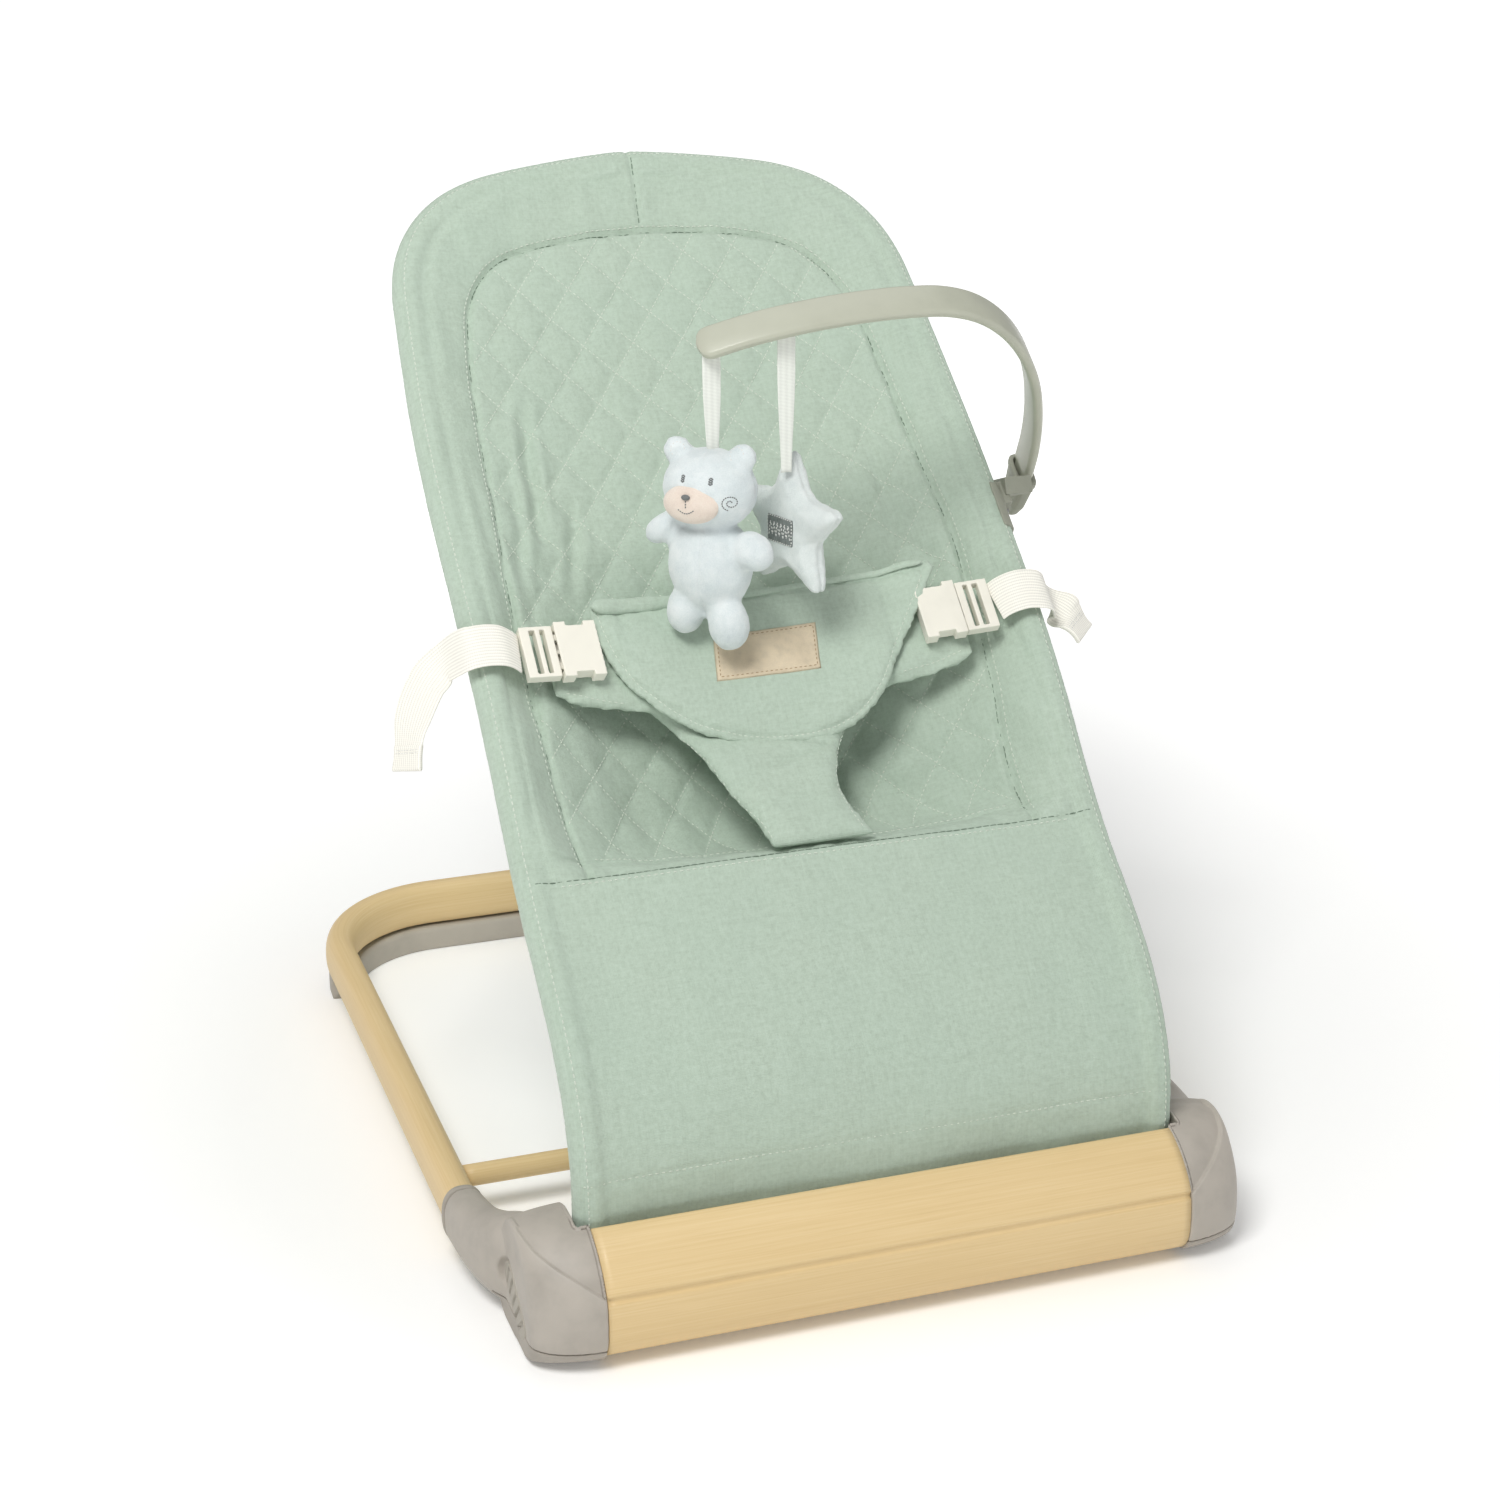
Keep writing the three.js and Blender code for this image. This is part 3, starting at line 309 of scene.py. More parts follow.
def inflate(o, voxel, cap, pressure=4.0, frames=20, pin=None):
    """Cloth under pressure: the piece swells to at most cap mm and keeps its folds."""
    remesh(o, voxel, 1)
    rest = coords(o)
    m = o.modifiers.new("Cloth", "CLOTH")
    c = m.settings
    c.use_pressure = True
    c.uniform_pressure_force = pressure
    c.effector_weights.gravity = 0
    c.quality = 5
    c.mass = 0.3
    c.tension_stiffness = c.compression_stiffness = 12
    c.shear_stiffness = 4
    c.bending_stiffness = 0.6
    m.collision_settings.use_collision = False
    m.point_cache.frame_start, m.point_cache.frame_end = 1, frames
    for f in range(1, frames + 1):
        SCN.frame_set(f)
    dg = bpy.context.evaluated_depsgraph_get()
    e = o.evaluated_get(dg)
    me = e.to_mesh()
    co = np.zeros(len(me.vertices) * 3)
    me.vertices.foreach_get("co", co)
    co = co.reshape(-1, 3) * 1000
    e.to_mesh_clear()
    o.modifiers.clear()
    SCN.frame_set(1)
    d = co - rest
    l = np.linalg.norm(d, axis=1)
    d *= (np.minimum(l, cap) / np.maximum(l, 1e-9))[:, None]
    if pin is not None:
        d *= pin(rest)[:, None]
    set_coords(o, rest + d)
    s = o.modifiers.new("sub", "SUBSURF")
    s.levels = s.render_levels = 1
    return apply_mods(o)


def tree(o):
    co = coords(o)
    return BVHTree.FromPolygons([Vector(c) for c in co], [list(p.vertices) for p in o.data.polygons])


def project(bvh, pts, direction, back=60.0):
    """Where rays along direction first meet the mesh: points and normals in mm, missing ones left out."""
    d = Vector(direction).normalized()
    out, nn = [], []
    for p in pts:
        h = bvh.ray_cast(Vector(p) - d * back, d, 400)
        if h[0] is not None:
            out.append(h[0][:])
            nn.append(h[1][:])
    return np.array(out).reshape(-1, 3), np.array(nn).reshape(-1, 3)


def capsules(name, A, B, r, mat, N=None, sink=0.3, sides=6):
    """Many short threads from A to B (K, 3) in mm, as one mesh."""
    A, B = np.array(A, float), np.array(B, float)
    K = len(A)
    T = B - A
    L = np.linalg.norm(T, axis=1)[:, None]
    T /= np.maximum(L, 1e-9)
    N = np.array(N, float) if N is not None else np.tile([0.0, -1, 0.3], (K, 1))
    N = N - (N * T).sum(1)[:, None] * T
    N /= np.maximum(np.linalg.norm(N, axis=1)[:, None], 1e-9)
    S = np.cross(T, N)
    st = [(0, 0.35, -1), (0.14, 0.85, -0.2), (0.35, 1, 0.15), (0.65, 1, 0.15), (0.86, 0.85, -0.2), (1, 0.35, -1)]
    th = np.linspace(0, 2 * np.pi, sides, endpoint=False)
    rings = []
    for t, k, h in st:
        c = A + T * L * t + N * (h * r - sink * r)
        rings.append(c[:, None] + S[:, None] * (np.cos(th) * r * k)[None, :, None] + N[:, None] * (np.sin(th) * r * k)[None, :, None])
    V = np.stack(rings, 1)
    m = len(st) * sides
    f = []
    for j in range(len(st) - 1):
        for i in range(sides):
            f.append((j * sides + i, j * sides + (i + 1) % sides, (j + 1) * sides + (i + 1) % sides, (j + 1) * sides + i))
    f = np.array(f)
    cap = np.array([[i for i in range(sides)][::-1], [(len(st) - 1) * sides + i for i in range(sides)]])
    faces = (np.arange(K)[:, None, None] * m + f[None]).reshape(-1, 4).tolist() + (np.arange(K)[:, None, None] * m + cap[None]).reshape(-1, sides).tolist()
    return new_mesh(name, V.reshape(-1, 3), faces, mat)


def stitch_line(pts, nrm, pitch=4.0, fill=0.72):
    """Start and end points of stitches along a polyline."""
    Q = np.hstack([np.array(pts), np.array(nrm)])
    L = length(Q[:, :3])
    n = max(int(L / pitch), 1)
    l = np.r_[0, np.cumsum(np.linalg.norm(np.diff(Q[:, :3], axis=0), axis=1))]
    g = lambda t: np.stack([np.interp(t, l, Q[:, i]) for i in range(6)], 1)
    t0 = np.arange(n) * L / n
    a, b = g(t0 + (1 - fill) / 2 * L / n), g(t0 + (1 + fill) / 2 * L / n)
    return a[:, :3], b[:, :3], a[:, 3:]


class Stitches:
    def __init__(self):
        self.a, self.b, self.n = [], [], []

    def line(self, pts, nrm, pitch=4.0, fill=0.72):
        if len(pts) < 2:
            return
        a, b, n = stitch_line(pts, nrm, pitch, fill)
        self.a.append(a); self.b.append(b); self.n.append(n)

    def make(self, name, r, mat, body, slot, sink=0.3):
        o = capsules(name, np.vstack(self.a), np.vstack(self.b), r, mat, np.vstack(self.n), sink)
        done(o, body, slot)
        return o


def done(o, body, slot, *nodes):
    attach(o, body)
    if nodes:
        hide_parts(*nodes)
    return o


# ------------------------------------------------------------------ materials
def lin(rgb):
    c = np.array(rgb, float) / 255
    c = np.where(c <= 0.04045, c / 12.92, ((c + 0.055) / 1.055) ** 2.4)
    return (float(c[0]), float(c[1]), float(c[2]), 1.0)


class Mat:
    """A node material with its Principled shader; helpers add and link nodes."""

    def __init__(self, name, rough=0.6, metal=0.0, sheen=0.0, coat=0.0, spec=0.5):
        self.m = bpy.data.materials.new(name)
        self.m.use_nodes = True
        self.t = self.m.node_tree
        self.b = self.t.nodes["Principled BSDF"]
        self.b.inputs["Roughness"].default_value = rough
        self.b.inputs["Metallic"].default_value = metal
        self.b.inputs["Sheen Weight"].default_value = sheen
        self.b.inputs["Sheen Roughness"].default_value = 0.5
        self.b.inputs["Coat Weight"].default_value = coat
        self.b.inputs["Specular IOR Level"].default_value = spec

    def n(self, kind, **props):
        x = self.t.nodes.new(kind)
        for k, v in props.items():
            if k in x.inputs:
                x.inputs[k].default_value = v
            else:
                setattr(x, k, v)
        return x

    def link(self, a, b):
        self.t.links.new(a, b)

    def coords(self, kind="uvw", scale=(1, 1, 1)):
        if kind == "uvw":
            a = self.n("ShaderNodeAttribute", attribute_name="uvw")
            out = a.outputs["Vector"]
        else:
            out = self.n("ShaderNodeTexCoord").outputs["Object"]
        mp = self.n("ShaderNodeMapping")
        mp.inputs["Scale"].default_value = scale
        self.link(out, mp.inputs["Vector"])
        return mp.outputs["Vector"]

    def noise(self, vec, scale, detail=3, rough=0.55):
        x = self.n("ShaderNodeTexNoise")
        x.inputs["Scale"].default_value = scale
        x.inputs["Detail"].default_value = detail
        x.inputs["Roughness"].default_value = rough
        self.link(vec, x.inputs["Vector"])
        return x.outputs["Fac"]

    def wave(self, vec, scale, axis="X", dist=0.0, dscale=1.0):
        x = self.n("ShaderNodeTexWave", wave_type="BANDS", bands_direction=axis, wave_profile="SIN")
        x.inputs["Scale"].default_value = scale
        x.inputs["Distortion"].default_value = dist
        x.inputs["Detail"].default_value = 2
        x.inputs["Detail Scale"].default_value = dscale
        self.link(vec, x.inputs["Vector"])
        return x.outputs["Fac"]

    def ramp(self, fac, stops):
        x = self.n("ShaderNodeValToRGB")
        e = x.color_ramp.elements
        e[0].position, e[0].color = stops[0]
        e[1].position, e[1].color = stops[-1]
        for p, c in stops[1:-1]:
            q = e.new(p)
            q.color = c
        self.link(fac, x.inputs["Fac"])
        return x.outputs["Color"]

    def mix(self, fac, a, b, mode="MIX"):
        x = self.n("ShaderNodeMix", data_type="RGBA", blend_type=mode)
        for s, v in ((0, fac), (6, a), (7, b)):
            if hasattr(v, "links") or isinstance(v, bpy.types.NodeSocket):
                self.link(v, x.inputs[s])
            else:
                x.inputs[s].default_value = v
        return x.outputs[2]

    def math(self, op, a, b=0.0, clamp=False):
        x = self.n("ShaderNodeMath", operation=op, use_clamp=clamp)
        for s, v in ((0, a), (1, b)):
            if isinstance(v, bpy.types.NodeSocket):
                self.link(v, x.inputs[s])
            else:
                x.inputs[s].default_value = v
        return x.outputs[0]

    def maprange(self, v, a, b, c, d):
        x = self.n("ShaderNodeMapRange")
        self.link(v, x.inputs["Value"])
        for k, q in (("From Min", a), ("From Max", b), ("To Min", c), ("To Max", d)):
            x.inputs[k].default_value = q
        return x.outputs["Result"]

    def bump(self, height, strength, dist, prev=None):
        x = self.n("ShaderNodeBump")
        x.inputs["Strength"].default_value = strength
        x.inputs["Distance"].default_value = dist
        self.link(height, x.inputs["Height"])
        if prev is not None:
            self.link(prev, x.inputs["Normal"])
        return x.outputs["Normal"]

    def out(self, colour=None, rough=None, normal=None):
        if colour is not None:
            self.link(colour, self.b.inputs["Base Color"])
        if rough is not None:
            self.link(rough, self.b.inputs["Roughness"])
        if normal is not None:
            self.link(normal, self.b.inputs["Normal"])
        return self.m


def fabric_mat(name, light, mid, dark, pitch=0.0009, kind="uvw"):
    """Plain cotton weave: crossing threads, slubs, melange, soft worn patches and painted shade between the threads."""
    m = Mat(name, sheen=0.22, spec=0.25)
    v = m.coords(kind)
    k = 2 * math.pi / (20 * pitch)
    wa = m.wave(v, k, "X", 1.2, 2.0)
    wb = m.wave(v, k, "Y", 1.2, 2.0)
    weave = m.math("MAXIMUM", m.math("MULTIPLY", wa, 0.9), wb)
    slub = m.noise(m.coords(kind, (30, 1, 1)), 45, 3)
    slub2 = m.noise(m.coords(kind, (1, 30, 1)), 45, 3)
    big = m.noise(v, 14, 4)
    fine = m.noise(v, 900, 2)
    mel = m.noise(v, 330, 4, 0.65)
    yarn = m.math("ADD", m.math("MULTIPLY", slub, 0.22), m.math("MULTIPLY", slub2, 0.22))
    c = m.ramp(m.math("ADD", yarn, m.math("MULTIPLY", mel, 0.56)), [(0.36, lin(dark)), (0.5, lin(mid)), (0.64, lin(light))])
    c = m.mix(m.maprange(big, 0.3, 0.7, 0.0, 0.22), c, lin([dark[0] + 2, dark[1] + 8, dark[2] + 8]))
    # darker where the weave height is low: painted shade in the gaps between the threads
    c = m.mix(m.maprange(weave, 0, 1, 0.10, 0.0), c, lin([x * 0.8 for x in dark]))
    h = m.math("ADD", m.math("MULTIPLY", weave, 0.7), m.math("MULTIPLY", fine, 0.5))
    nb = m.bump(h, 0.45, 0.0004)
    nb = m.bump(m.noise(v, 220, 3), 0.25, 0.0012, nb)
    return m.out(c, m.maprange(fine, 0.3, 0.7, 0.82, 0.96), nb)


def wood_mat(name):
    """Beech print: pale ground, fine lengthwise grain, short dark flecks and a satin skin."""
    m = Mat(name, coat=0.06, spec=0.4)
    v = m.coords("uvw", (1, 1, 1))
    g1 = m.noise(m.coords("uvw", (2.4, 130, 130)), 5.0, 5, 0.6)
    g2 = m.noise(m.coords("uvw", (9, 420, 420)), 4.0, 3, 0.6)
    big = m.noise(m.coords("uvw", (1, 6, 6)), 5, 3)
    c = m.ramp(g1, [(0.28, lin((221, 193, 142))), (0.46, lin((226, 199, 149))), (0.6, lin((229, 203, 155))), (0.78, lin((232, 208, 162)))])
    c = m.mix(m.maprange(big, 0.35, 0.7, 0.0, 0.30), c, lin((214, 186, 134)))
    fl = m.maprange(g2, 0.60, 0.74, 0.0, 0.15)
    c = m.mix(fl, c, lin((176, 141, 92)))
    nb = m.bump(g2, 0.10, 0.0005)
    nb = m.bump(m.noise(v, 60, 2), 0.05, 0.002, nb)
    return m.out(c, m.maprange(g1, 0.3, 0.7, 0.42, 0.55), nb)


def plastic_mat(name, rgb, rough=0.5, grain=0.0006, bump=0.18, vary=0.08, coat=0.0, wear=0.12):
    """Moulded plastic: spark-eroded grain, faint flow variation, edges polished paler by handling."""
    m = Mat(name, coat=coat, spec=0.45)
    v = m.coords("obj")
    fine = m.noise(v, 1 / grain, 2)
    mid = m.noise(v, 55, 4)
    big = m.noise(v, 9, 3)
    d = [x * (1 - vary) for x in rgb]
    l = [min(255, x * (1 + vary * 0.5)) for x in rgb]
    c = m.ramp(m.math("ADD", m.math("MULTIPLY", mid, 0.5), m.math("MULTIPLY", big, 0.5)), [(0.32, lin(d)), (0.5, lin(rgb)), (0.7, lin(l))])
    geo = m.n("ShaderNodeNewGeometry")
    edge = m.maprange(geo.outputs["Pointiness"], 0.52, 0.60, 0.0, wear)
    c = m.mix(edge, c, lin([min(255, x * 1.10 + 8) for x in rgb]))
    nb = m.bump(fine, bump, 0.0003)
    nb = m.bump(mid, 0.03, 0.001, nb)
    return m.out(c, m.maprange(m.math("ADD", m.math("MULTIPLY", fine, 0.5), m.math("MULTIPLY", mid, 0.5)), 0.3, 0.7, rough - 0.07, rough + 0.09), nb)


def plush_mat(name, light, mid, dark):
    """Short velour pile, brushed in patches."""
    m = Mat(name, sheen=0.55, spec=0.15)
    v = m.coords("obj")
    p = m.noise(v, 1400, 3, 0.7)
    patch = m.noise(v, 75, 4, 0.6)
    big = m.noise(v, 22, 3)
    c = m.ramp(m.math("ADD", m.math("MULTIPLY", patch, 0.55), m.math("MULTIPLY", p, 0.45)), [(0.34, lin(dark)), (0.5, lin(mid)), (0.64, lin(light))])
    c = m.mix(m.maprange(big, 0.35, 0.7, 0.0, 0.3), c, lin(dark))
    nb = m.bump(p, 0.7, 0.0009)
    nb = m.bump(patch, 0.35, 0.002, nb)
    return m.out(c, m.maprange(p, 0.3, 0.7, 0.85, 1.0), nb)


def web_mat(name, rgb, pitch, axis="Y", cross=0.0012):
    """Woven band: ribs along or across the band, with the weft showing between them; the colour follows their height,
    painted shade in the hollows and a painted highlight on the rib tops.
    """
    m = Mat(name, sheen=0.2, spec=0.3)
    v = m.coords("uvw")
    rib = m.wave(v, 2 * math.pi / (20 * pitch), axis, 0.25, 3)
    weft = m.wave(v, 2 * math.pi / (20 * cross), "X" if axis == "Y" else "Y", 0.4, 3)
    n1 = m.noise(v, 700, 2)
    big = m.noise(v, 40, 3)
    h = m.math("ADD", m.math("MULTIPLY", rib, 0.8), m.math("MULTIPLY", weft, 0.35))
    # colour ramp over the rib height: painted shade low in the hollows, painted highlight on the rib tops
    c = m.ramp(h, [(0.1, lin([x * 0.93 for x in rgb])), (0.6, lin(rgb)), (1.0, lin([min(255, x * 1.05) for x in rgb]))])
    c = m.mix(m.maprange(big, 0.3, 0.7, 0.0, 0.18), c, lin([x * 0.95 for x in rgb]))
    nb = m.bump(h, 0.35, 0.0003)
    nb = m.bump(n1, 0.2, 0.0004, nb)
    return m.out(c, m.maprange(n1, 0.3, 0.7, 0.75, 0.92), nb)


def metal_mat(name, rgb, rough=0.32, scale=(1, 60, 60)):
    m = Mat(name, metal=1.0)
    v = m.coords("obj", scale)
    br = m.noise(v, 90, 4, 0.7)
    sp = m.noise(m.coords("obj"), 70, 4)
    c = m.ramp(sp, [(0.3, lin([x * 0.82 for x in rgb])), (0.7, lin(rgb))])
    return m.out(c, m.maprange(br, 0.3, 0.7, rough - 0.08, rough + 0.14), m.bump(br, 0.12, 0.0003))


def leather_mat(name, rgb):
    m = Mat(name, spec=0.35)
    v = m.coords("obj")
    x = m.n("ShaderNodeTexVoronoi", feature="DISTANCE_TO_EDGE")
    x.inputs["Scale"].default_value = 900
    m.link(v, x.inputs["Vector"])
    pores = m.maprange(x.outputs["Distance"], 0.0, 0.12, 0.0, 1.0)
    n1 = m.noise(v, 160, 4)
    c = m.ramp(n1, [(0.3, lin([k * 0.955 for k in rgb])), (0.5, lin(rgb)), (0.72, lin([min(255, k * 1.03) for k in rgb]))])
    # darker along the grain grooves that the bump sinks: painted shade in the grain
    c = m.mix(m.maprange(pores, 0, 1, 0.12, 0), c, lin([k * 0.7 for k in rgb]))
    return m.out(c, m.maprange(n1, 0.3, 0.7, 0.55, 0.72), m.bump(pores, 0.3, 0.0003))


def thread_mat(name, rgb):
    m = Mat(name, sheen=0.15, spec=0.3)
    v = m.coords("obj")
    n1 = m.noise(v, 2600, 2)
    n2 = m.noise(v, 60, 2)
    c = m.ramp(n1, [(0.3, lin([k * 0.8 for k in rgb])), (0.65, lin(rgb))])
    c = m.mix(m.maprange(n2, 0.3, 0.7, 0.0, 0.15), c, lin([k * 0.85 for k in rgb]))
    return m.out(c, m.maprange(n1, 0.3, 0.7, 0.6, 0.85), m.bump(n1, 0.4, 0.0002))


M_FABRIC = fabric_mat("sage_cotton", (189, 205, 190), (181, 197, 181), (171, 186, 170))
M_WOOD = wood_mat("beech_print")
M_HUB = plastic_mat("warm_grey_plastic", (180, 173, 163), 0.50, 0.0005, 0.22)
M_HUB2 = plastic_mat("warm_grey_plastic_low", (170, 163, 153), 0.55, 0.0005, 0.22)
M_BTN = plastic_mat("button_grey", (170, 164, 152), 0.52, 0.0005, 0.2)
M_FOOT = plastic_mat("foot_grey", (176, 170, 160), 0.62, 0.0006, 0.28)
M_RUBBER = plastic_mat("rubber_dark", (92, 89, 84), 0.82, 0.0007, 0.35)
M_STEEL = metal_mat("zinc_steel", (196, 197, 198), 0.34)
M_TUBE = metal_mat("seat_tube_metal", (170, 170, 168), 0.38)
M_CREAM = plastic_mat("cream_plastic", (233, 230, 218), 0.34, 0.0009, 0.06, 0.03, 0.15)
M_WEB = web_mat("cream_webbing", (240, 238, 229), 0.0022)
M_BAR = plastic_mat("greige_plastic", (177, 179, 163), 0.36, 0.0009, 0.06, 0.04, 0.12)
M_BRACKET = plastic_mat("bracket_plastic", (156, 158, 144), 0.55, 0.0005, 0.25)
M_PLUSH = plush_mat("bear_velour", (234, 239, 239), (221, 229, 230), (205, 215, 217))
# a darker copy of the bear velour as painted shade; no part uses it
M_PLUSH_PAINTED_SHADE = plush_mat("bear_velour_painted_shade", (226, 231, 228), (214, 221, 218), (198, 206, 203))
M_STAR = plush_mat("star_velour", (232, 237, 235), (221, 228, 226), (204, 212, 211))
M_MUZZLE = plush_mat("muzzle_velour", (240, 230, 218), (233, 219, 206), (219, 203, 190))
M_RIBBON = web_mat("ribbon_grosgrain", (226, 229, 222), 0.0009, "X", 0.004)
M_LABEL = leather_mat("tan_patch", (212, 197, 171))
# darker sage thread for the seam lines: painted shade in the sunk joins
M_SEAM_PAINTED_SHADE = thread_mat("sage_seam_painted_shade", (122, 141, 124))
M_THREAD = thread_mat("sage_thread", (224, 234, 220))
M_TAN_THREAD = thread_mat("tan_thread", (176, 150, 115))
M_DARK = thread_mat("grey_thread", (120, 124, 124))
M_WHITE = thread_mat("white_thread", (240, 240, 236))
M_WINDOW = fabric_mat("dark_patch", (132, 138, 136), (118, 124, 122), (100, 106, 104), 0.0007, "obj")

for n_, m_ in {"front_rail": M_STEEL, "hub_right_screw": M_STEEL, "hub_left_screw": M_STEEL, "button_spring_right": M_STEEL,
               "button_spring_left": M_STEEL, "pivot_pin_right": M_STEEL, "pivot_pin_left": M_STEEL, "hinge_disc_right": M_STEEL,
               "hinge_disc_left": M_STEEL, "bracket_screw": M_STEEL, "hub_right_sole": M_RUBBER, "hub_left_sole": M_RUBBER}.items():
    NODES[n_].data.materials.clear()
    NODES[n_].data.materials.append(m_)

# ------------------------------------------------------------------ camera, light, floor
cam = bpy.data.cameras.new("camera")
cam.lens, cam.sensor_width, cam.sensor_fit = 67.11, 36, "HORIZONTAL"
cam.clip_start, cam.clip_end = 0.05, 60
camera = bpy.data.objects.new("camera", cam)
SCN.collection.objects.link(camera)
R_, U_, F_ = Vector((0.94571, -0.32501, 0)), Vector((0.11628, 0.33836, 0.93381)), Vector((0.30349, 0.88311, -0.35778))
mw = Matrix.Identity(4)
for i in range(3):
    mw[i][0], mw[i][1], mw[i][2] = R_[i], U_[i], -F_[i]
mw.translation = Vector((-0.56775, -1.6713, 0.93219))
camera.matrix_world = mw
SCN.camera = camera
SCN.view_settings.view_transform = "Standard"
SCN.view_settings.look = "None"
SCN.view_settings.exposure = 0.0


def area(name, loc, target, size, watt, size_y=None, colour=(1, 1, 1)):
    l = bpy.data.lights.new(name, "AREA")
    l.shape = "RECTANGLE"
    l.size, l.size_y = size, size_y or size
    l.energy = watt
    l.color = colour
    o = bpy.data.objects.new(name, l)
    SCN.collection.objects.link(o)
    o.location = loc
    o.rotation_mode = "QUATERNION"
    o.rotation_quaternion = (Vector(target) - Vector(loc)).to_track_quat("-Z", "Y")
    return o


area("key", (-1.0, -1.1, 2.3), (0, 0, 0.3), 0.9, 41, 0.9, (1, 0.995, 0.98))
area("fill", (1.9, -1.5, 1.2), (0, 0, 0.3), 1.4, 5, 1.4, (0.98, 0.99, 1))
area("top", (0.3, 0.7, 2.6), (0, 0, 0.3), 1.8, 9, 1.8)
w = bpy.data.worlds.new("world")
SCN.world = w
w.use_nodes = True
w.node_tree.nodes["Background"].inputs["Color"].default_value = (1, 1, 1, 1)
w.node_tree.nodes["Background"].inputs["Strength"].default_value = 0.33

fm = Mat("floor_pale_glowing", rough=0.9, spec=0.1)
fn = fm.noise(fm.coords("obj"), 1.2, 2)
# the floor glows as painted light: emission strength rises from 0.10 near the object to 0.75 beyond 1.5 m, whitening
# the background
fm.b.inputs["Emission Color"].default_value = (1, 1, 1, 1)
floor_glow_dist = fm.n("ShaderNodeVectorMath", operation="LENGTH")
fm.link(fm.coords("obj"), floor_glow_dist.inputs[0])
fm.link(fm.maprange(floor_glow_dist.outputs["Value"], 0.35, 1.5, 0.10, 0.75), fm.b.inputs["Emission Strength"])
M_FLOOR = fm.out(fm.ramp(fn, [(0.3, lin((248, 248, 247))), (0.7, lin((252, 252, 251)))]))
floor = new_mesh("floor", [(-9, -9, 0), (9, -9, 0), (9, 9, 0), (-9, 9, 0)], [(0, 1, 2, 3)], M_FLOOR, mm=False)

# ------------------------------------------------------------------ base
LOOP_X, LOOP_R, REAR_Y = 239.3, 86.0, 307.1
z_at = lambda y: 33.0 + (np.asarray(y, float) + 212) / (REAR_Y + 212) * 3.4


def loop_half(y0, arc0=0.0, steps=40):
    """One side from y0 to the middle of the rear run."""
    c = (LOOP_X - LOOP_R, REAR_Y - LOOP_R)
    pts = []
    if y0 is not None:
        ys = np.linspace(y0, c[1], 90)[:-1]
        pts.append(np.stack([np.full_like(ys, LOOP_X), ys], 1))
    t = np.linspace(math.radians(arc0), math.pi / 2, steps)
    pts.append(np.stack([c[0] + LOOP_R * np.cos(t), c[1] + LOOP_R * np.sin(t)], 1))
    xs = np.linspace(c[0], 0, 36)[1:]
    pts.append(np.stack([xs, np.full_like(xs, REAR_Y)], 1))
    return np.vstack(pts)


h = loop_half(-181)
loop2 = np.vstack([h, (h[:-1] * [-1, 1])[::-1]])
loop = np.column_stack([loop2, z_at(loop2[:, 1])])
o = sweep("base_loop", loop, super_ring(11.1, 16.9, 2.4, 40), (0, 0, 1), M_WOOD)
done(o, "base", "wood_print", "base_loop_tube")

h = loop_half(None, 8)
foot2 = np.vstack([h, (h[:-1] * [-1, 1])[::-1]])
foot = resample(np.column_stack([foot2, np.zeros(len(foot2))]), 150)
k = np.linspace(0, 1, len(foot))
taper = 0.72 + 0.28 * smooth(0, 0.035, k) * smooth(0, 0.035, 1 - k)
secs = []
for q in taper:
    wq = 11.0 * q
    zt = 18.6 - (1 - q) * 6
    pts = [[-wq + 1.6, 0.0], [wq - 1.6, 0.0], [wq - 0.4, 0.5], [wq, 1.8], [wq, zt - 4.0], [wq - 0.5, zt - 2.0], [wq - 1.8, zt - 0.5], [wq - 3.6, zt],
           [-wq + 3.6, zt], [-wq + 1.8, zt - 0.5], [-wq + 0.5, zt - 2.0], [-wq, zt - 4.0], [-wq, 1.8], [-wq + 0.4, 0.5]]
    secs.append(pts)
o = sweep("rear_foot", foot, np.array(secs), (0, 0, 1), M_FOOT)
done(o, "base", "grey_plastic_dark", "rear_foot_strip")

o = sweep("cross_bar", np.column_stack([np.linspace(-227.6, 227.6, 60), np.full(60, -109.5), np.full(60, 29.0)]), super_ring(7.25, 7.25, 2, 40), (0, 0, 1), M_WOOD)
done(o, "base", "wood_print", "cross_tube")

BEAM = [[-297, 4.2], [-305.5, 7], [-312, 12.5], [-315.8, 19.5], [-317, 28], [-316.8, 39], [-316.0, 46.6], [-314.5, 48.0], [-314.3, 50.4], [-315.2, 51.6], [-311.8, 57.5], [-306.5, 63.5], [-300, 69.5],
        [-292.5, 74.6], [-285.5, 78.2], [-281.4, 79.4]]
front = spline(BEAM[:7], 26)
step = spline(BEAM[6:10], 12)
upper = spline(BEAM[9:], 26)
back = np.array([[-279.6, 77.6], [-279.6, 60], [-279.6, 42], [-279.6, 24], [-279.6, 6.4], [-281.8, 4.2], [-289, 4.2]])
prof_b = np.vstack([front, step[1:], upper[1:], back])
path = np.column_stack([np.linspace(-189, 189, 70), np.zeros(70), np.zeros(70)])
o = sweep("beam", path, prof_b * [-1, 1], (0, 0, 1), M_WOOD)
done(o, "base", "wood_print", "front_beam")

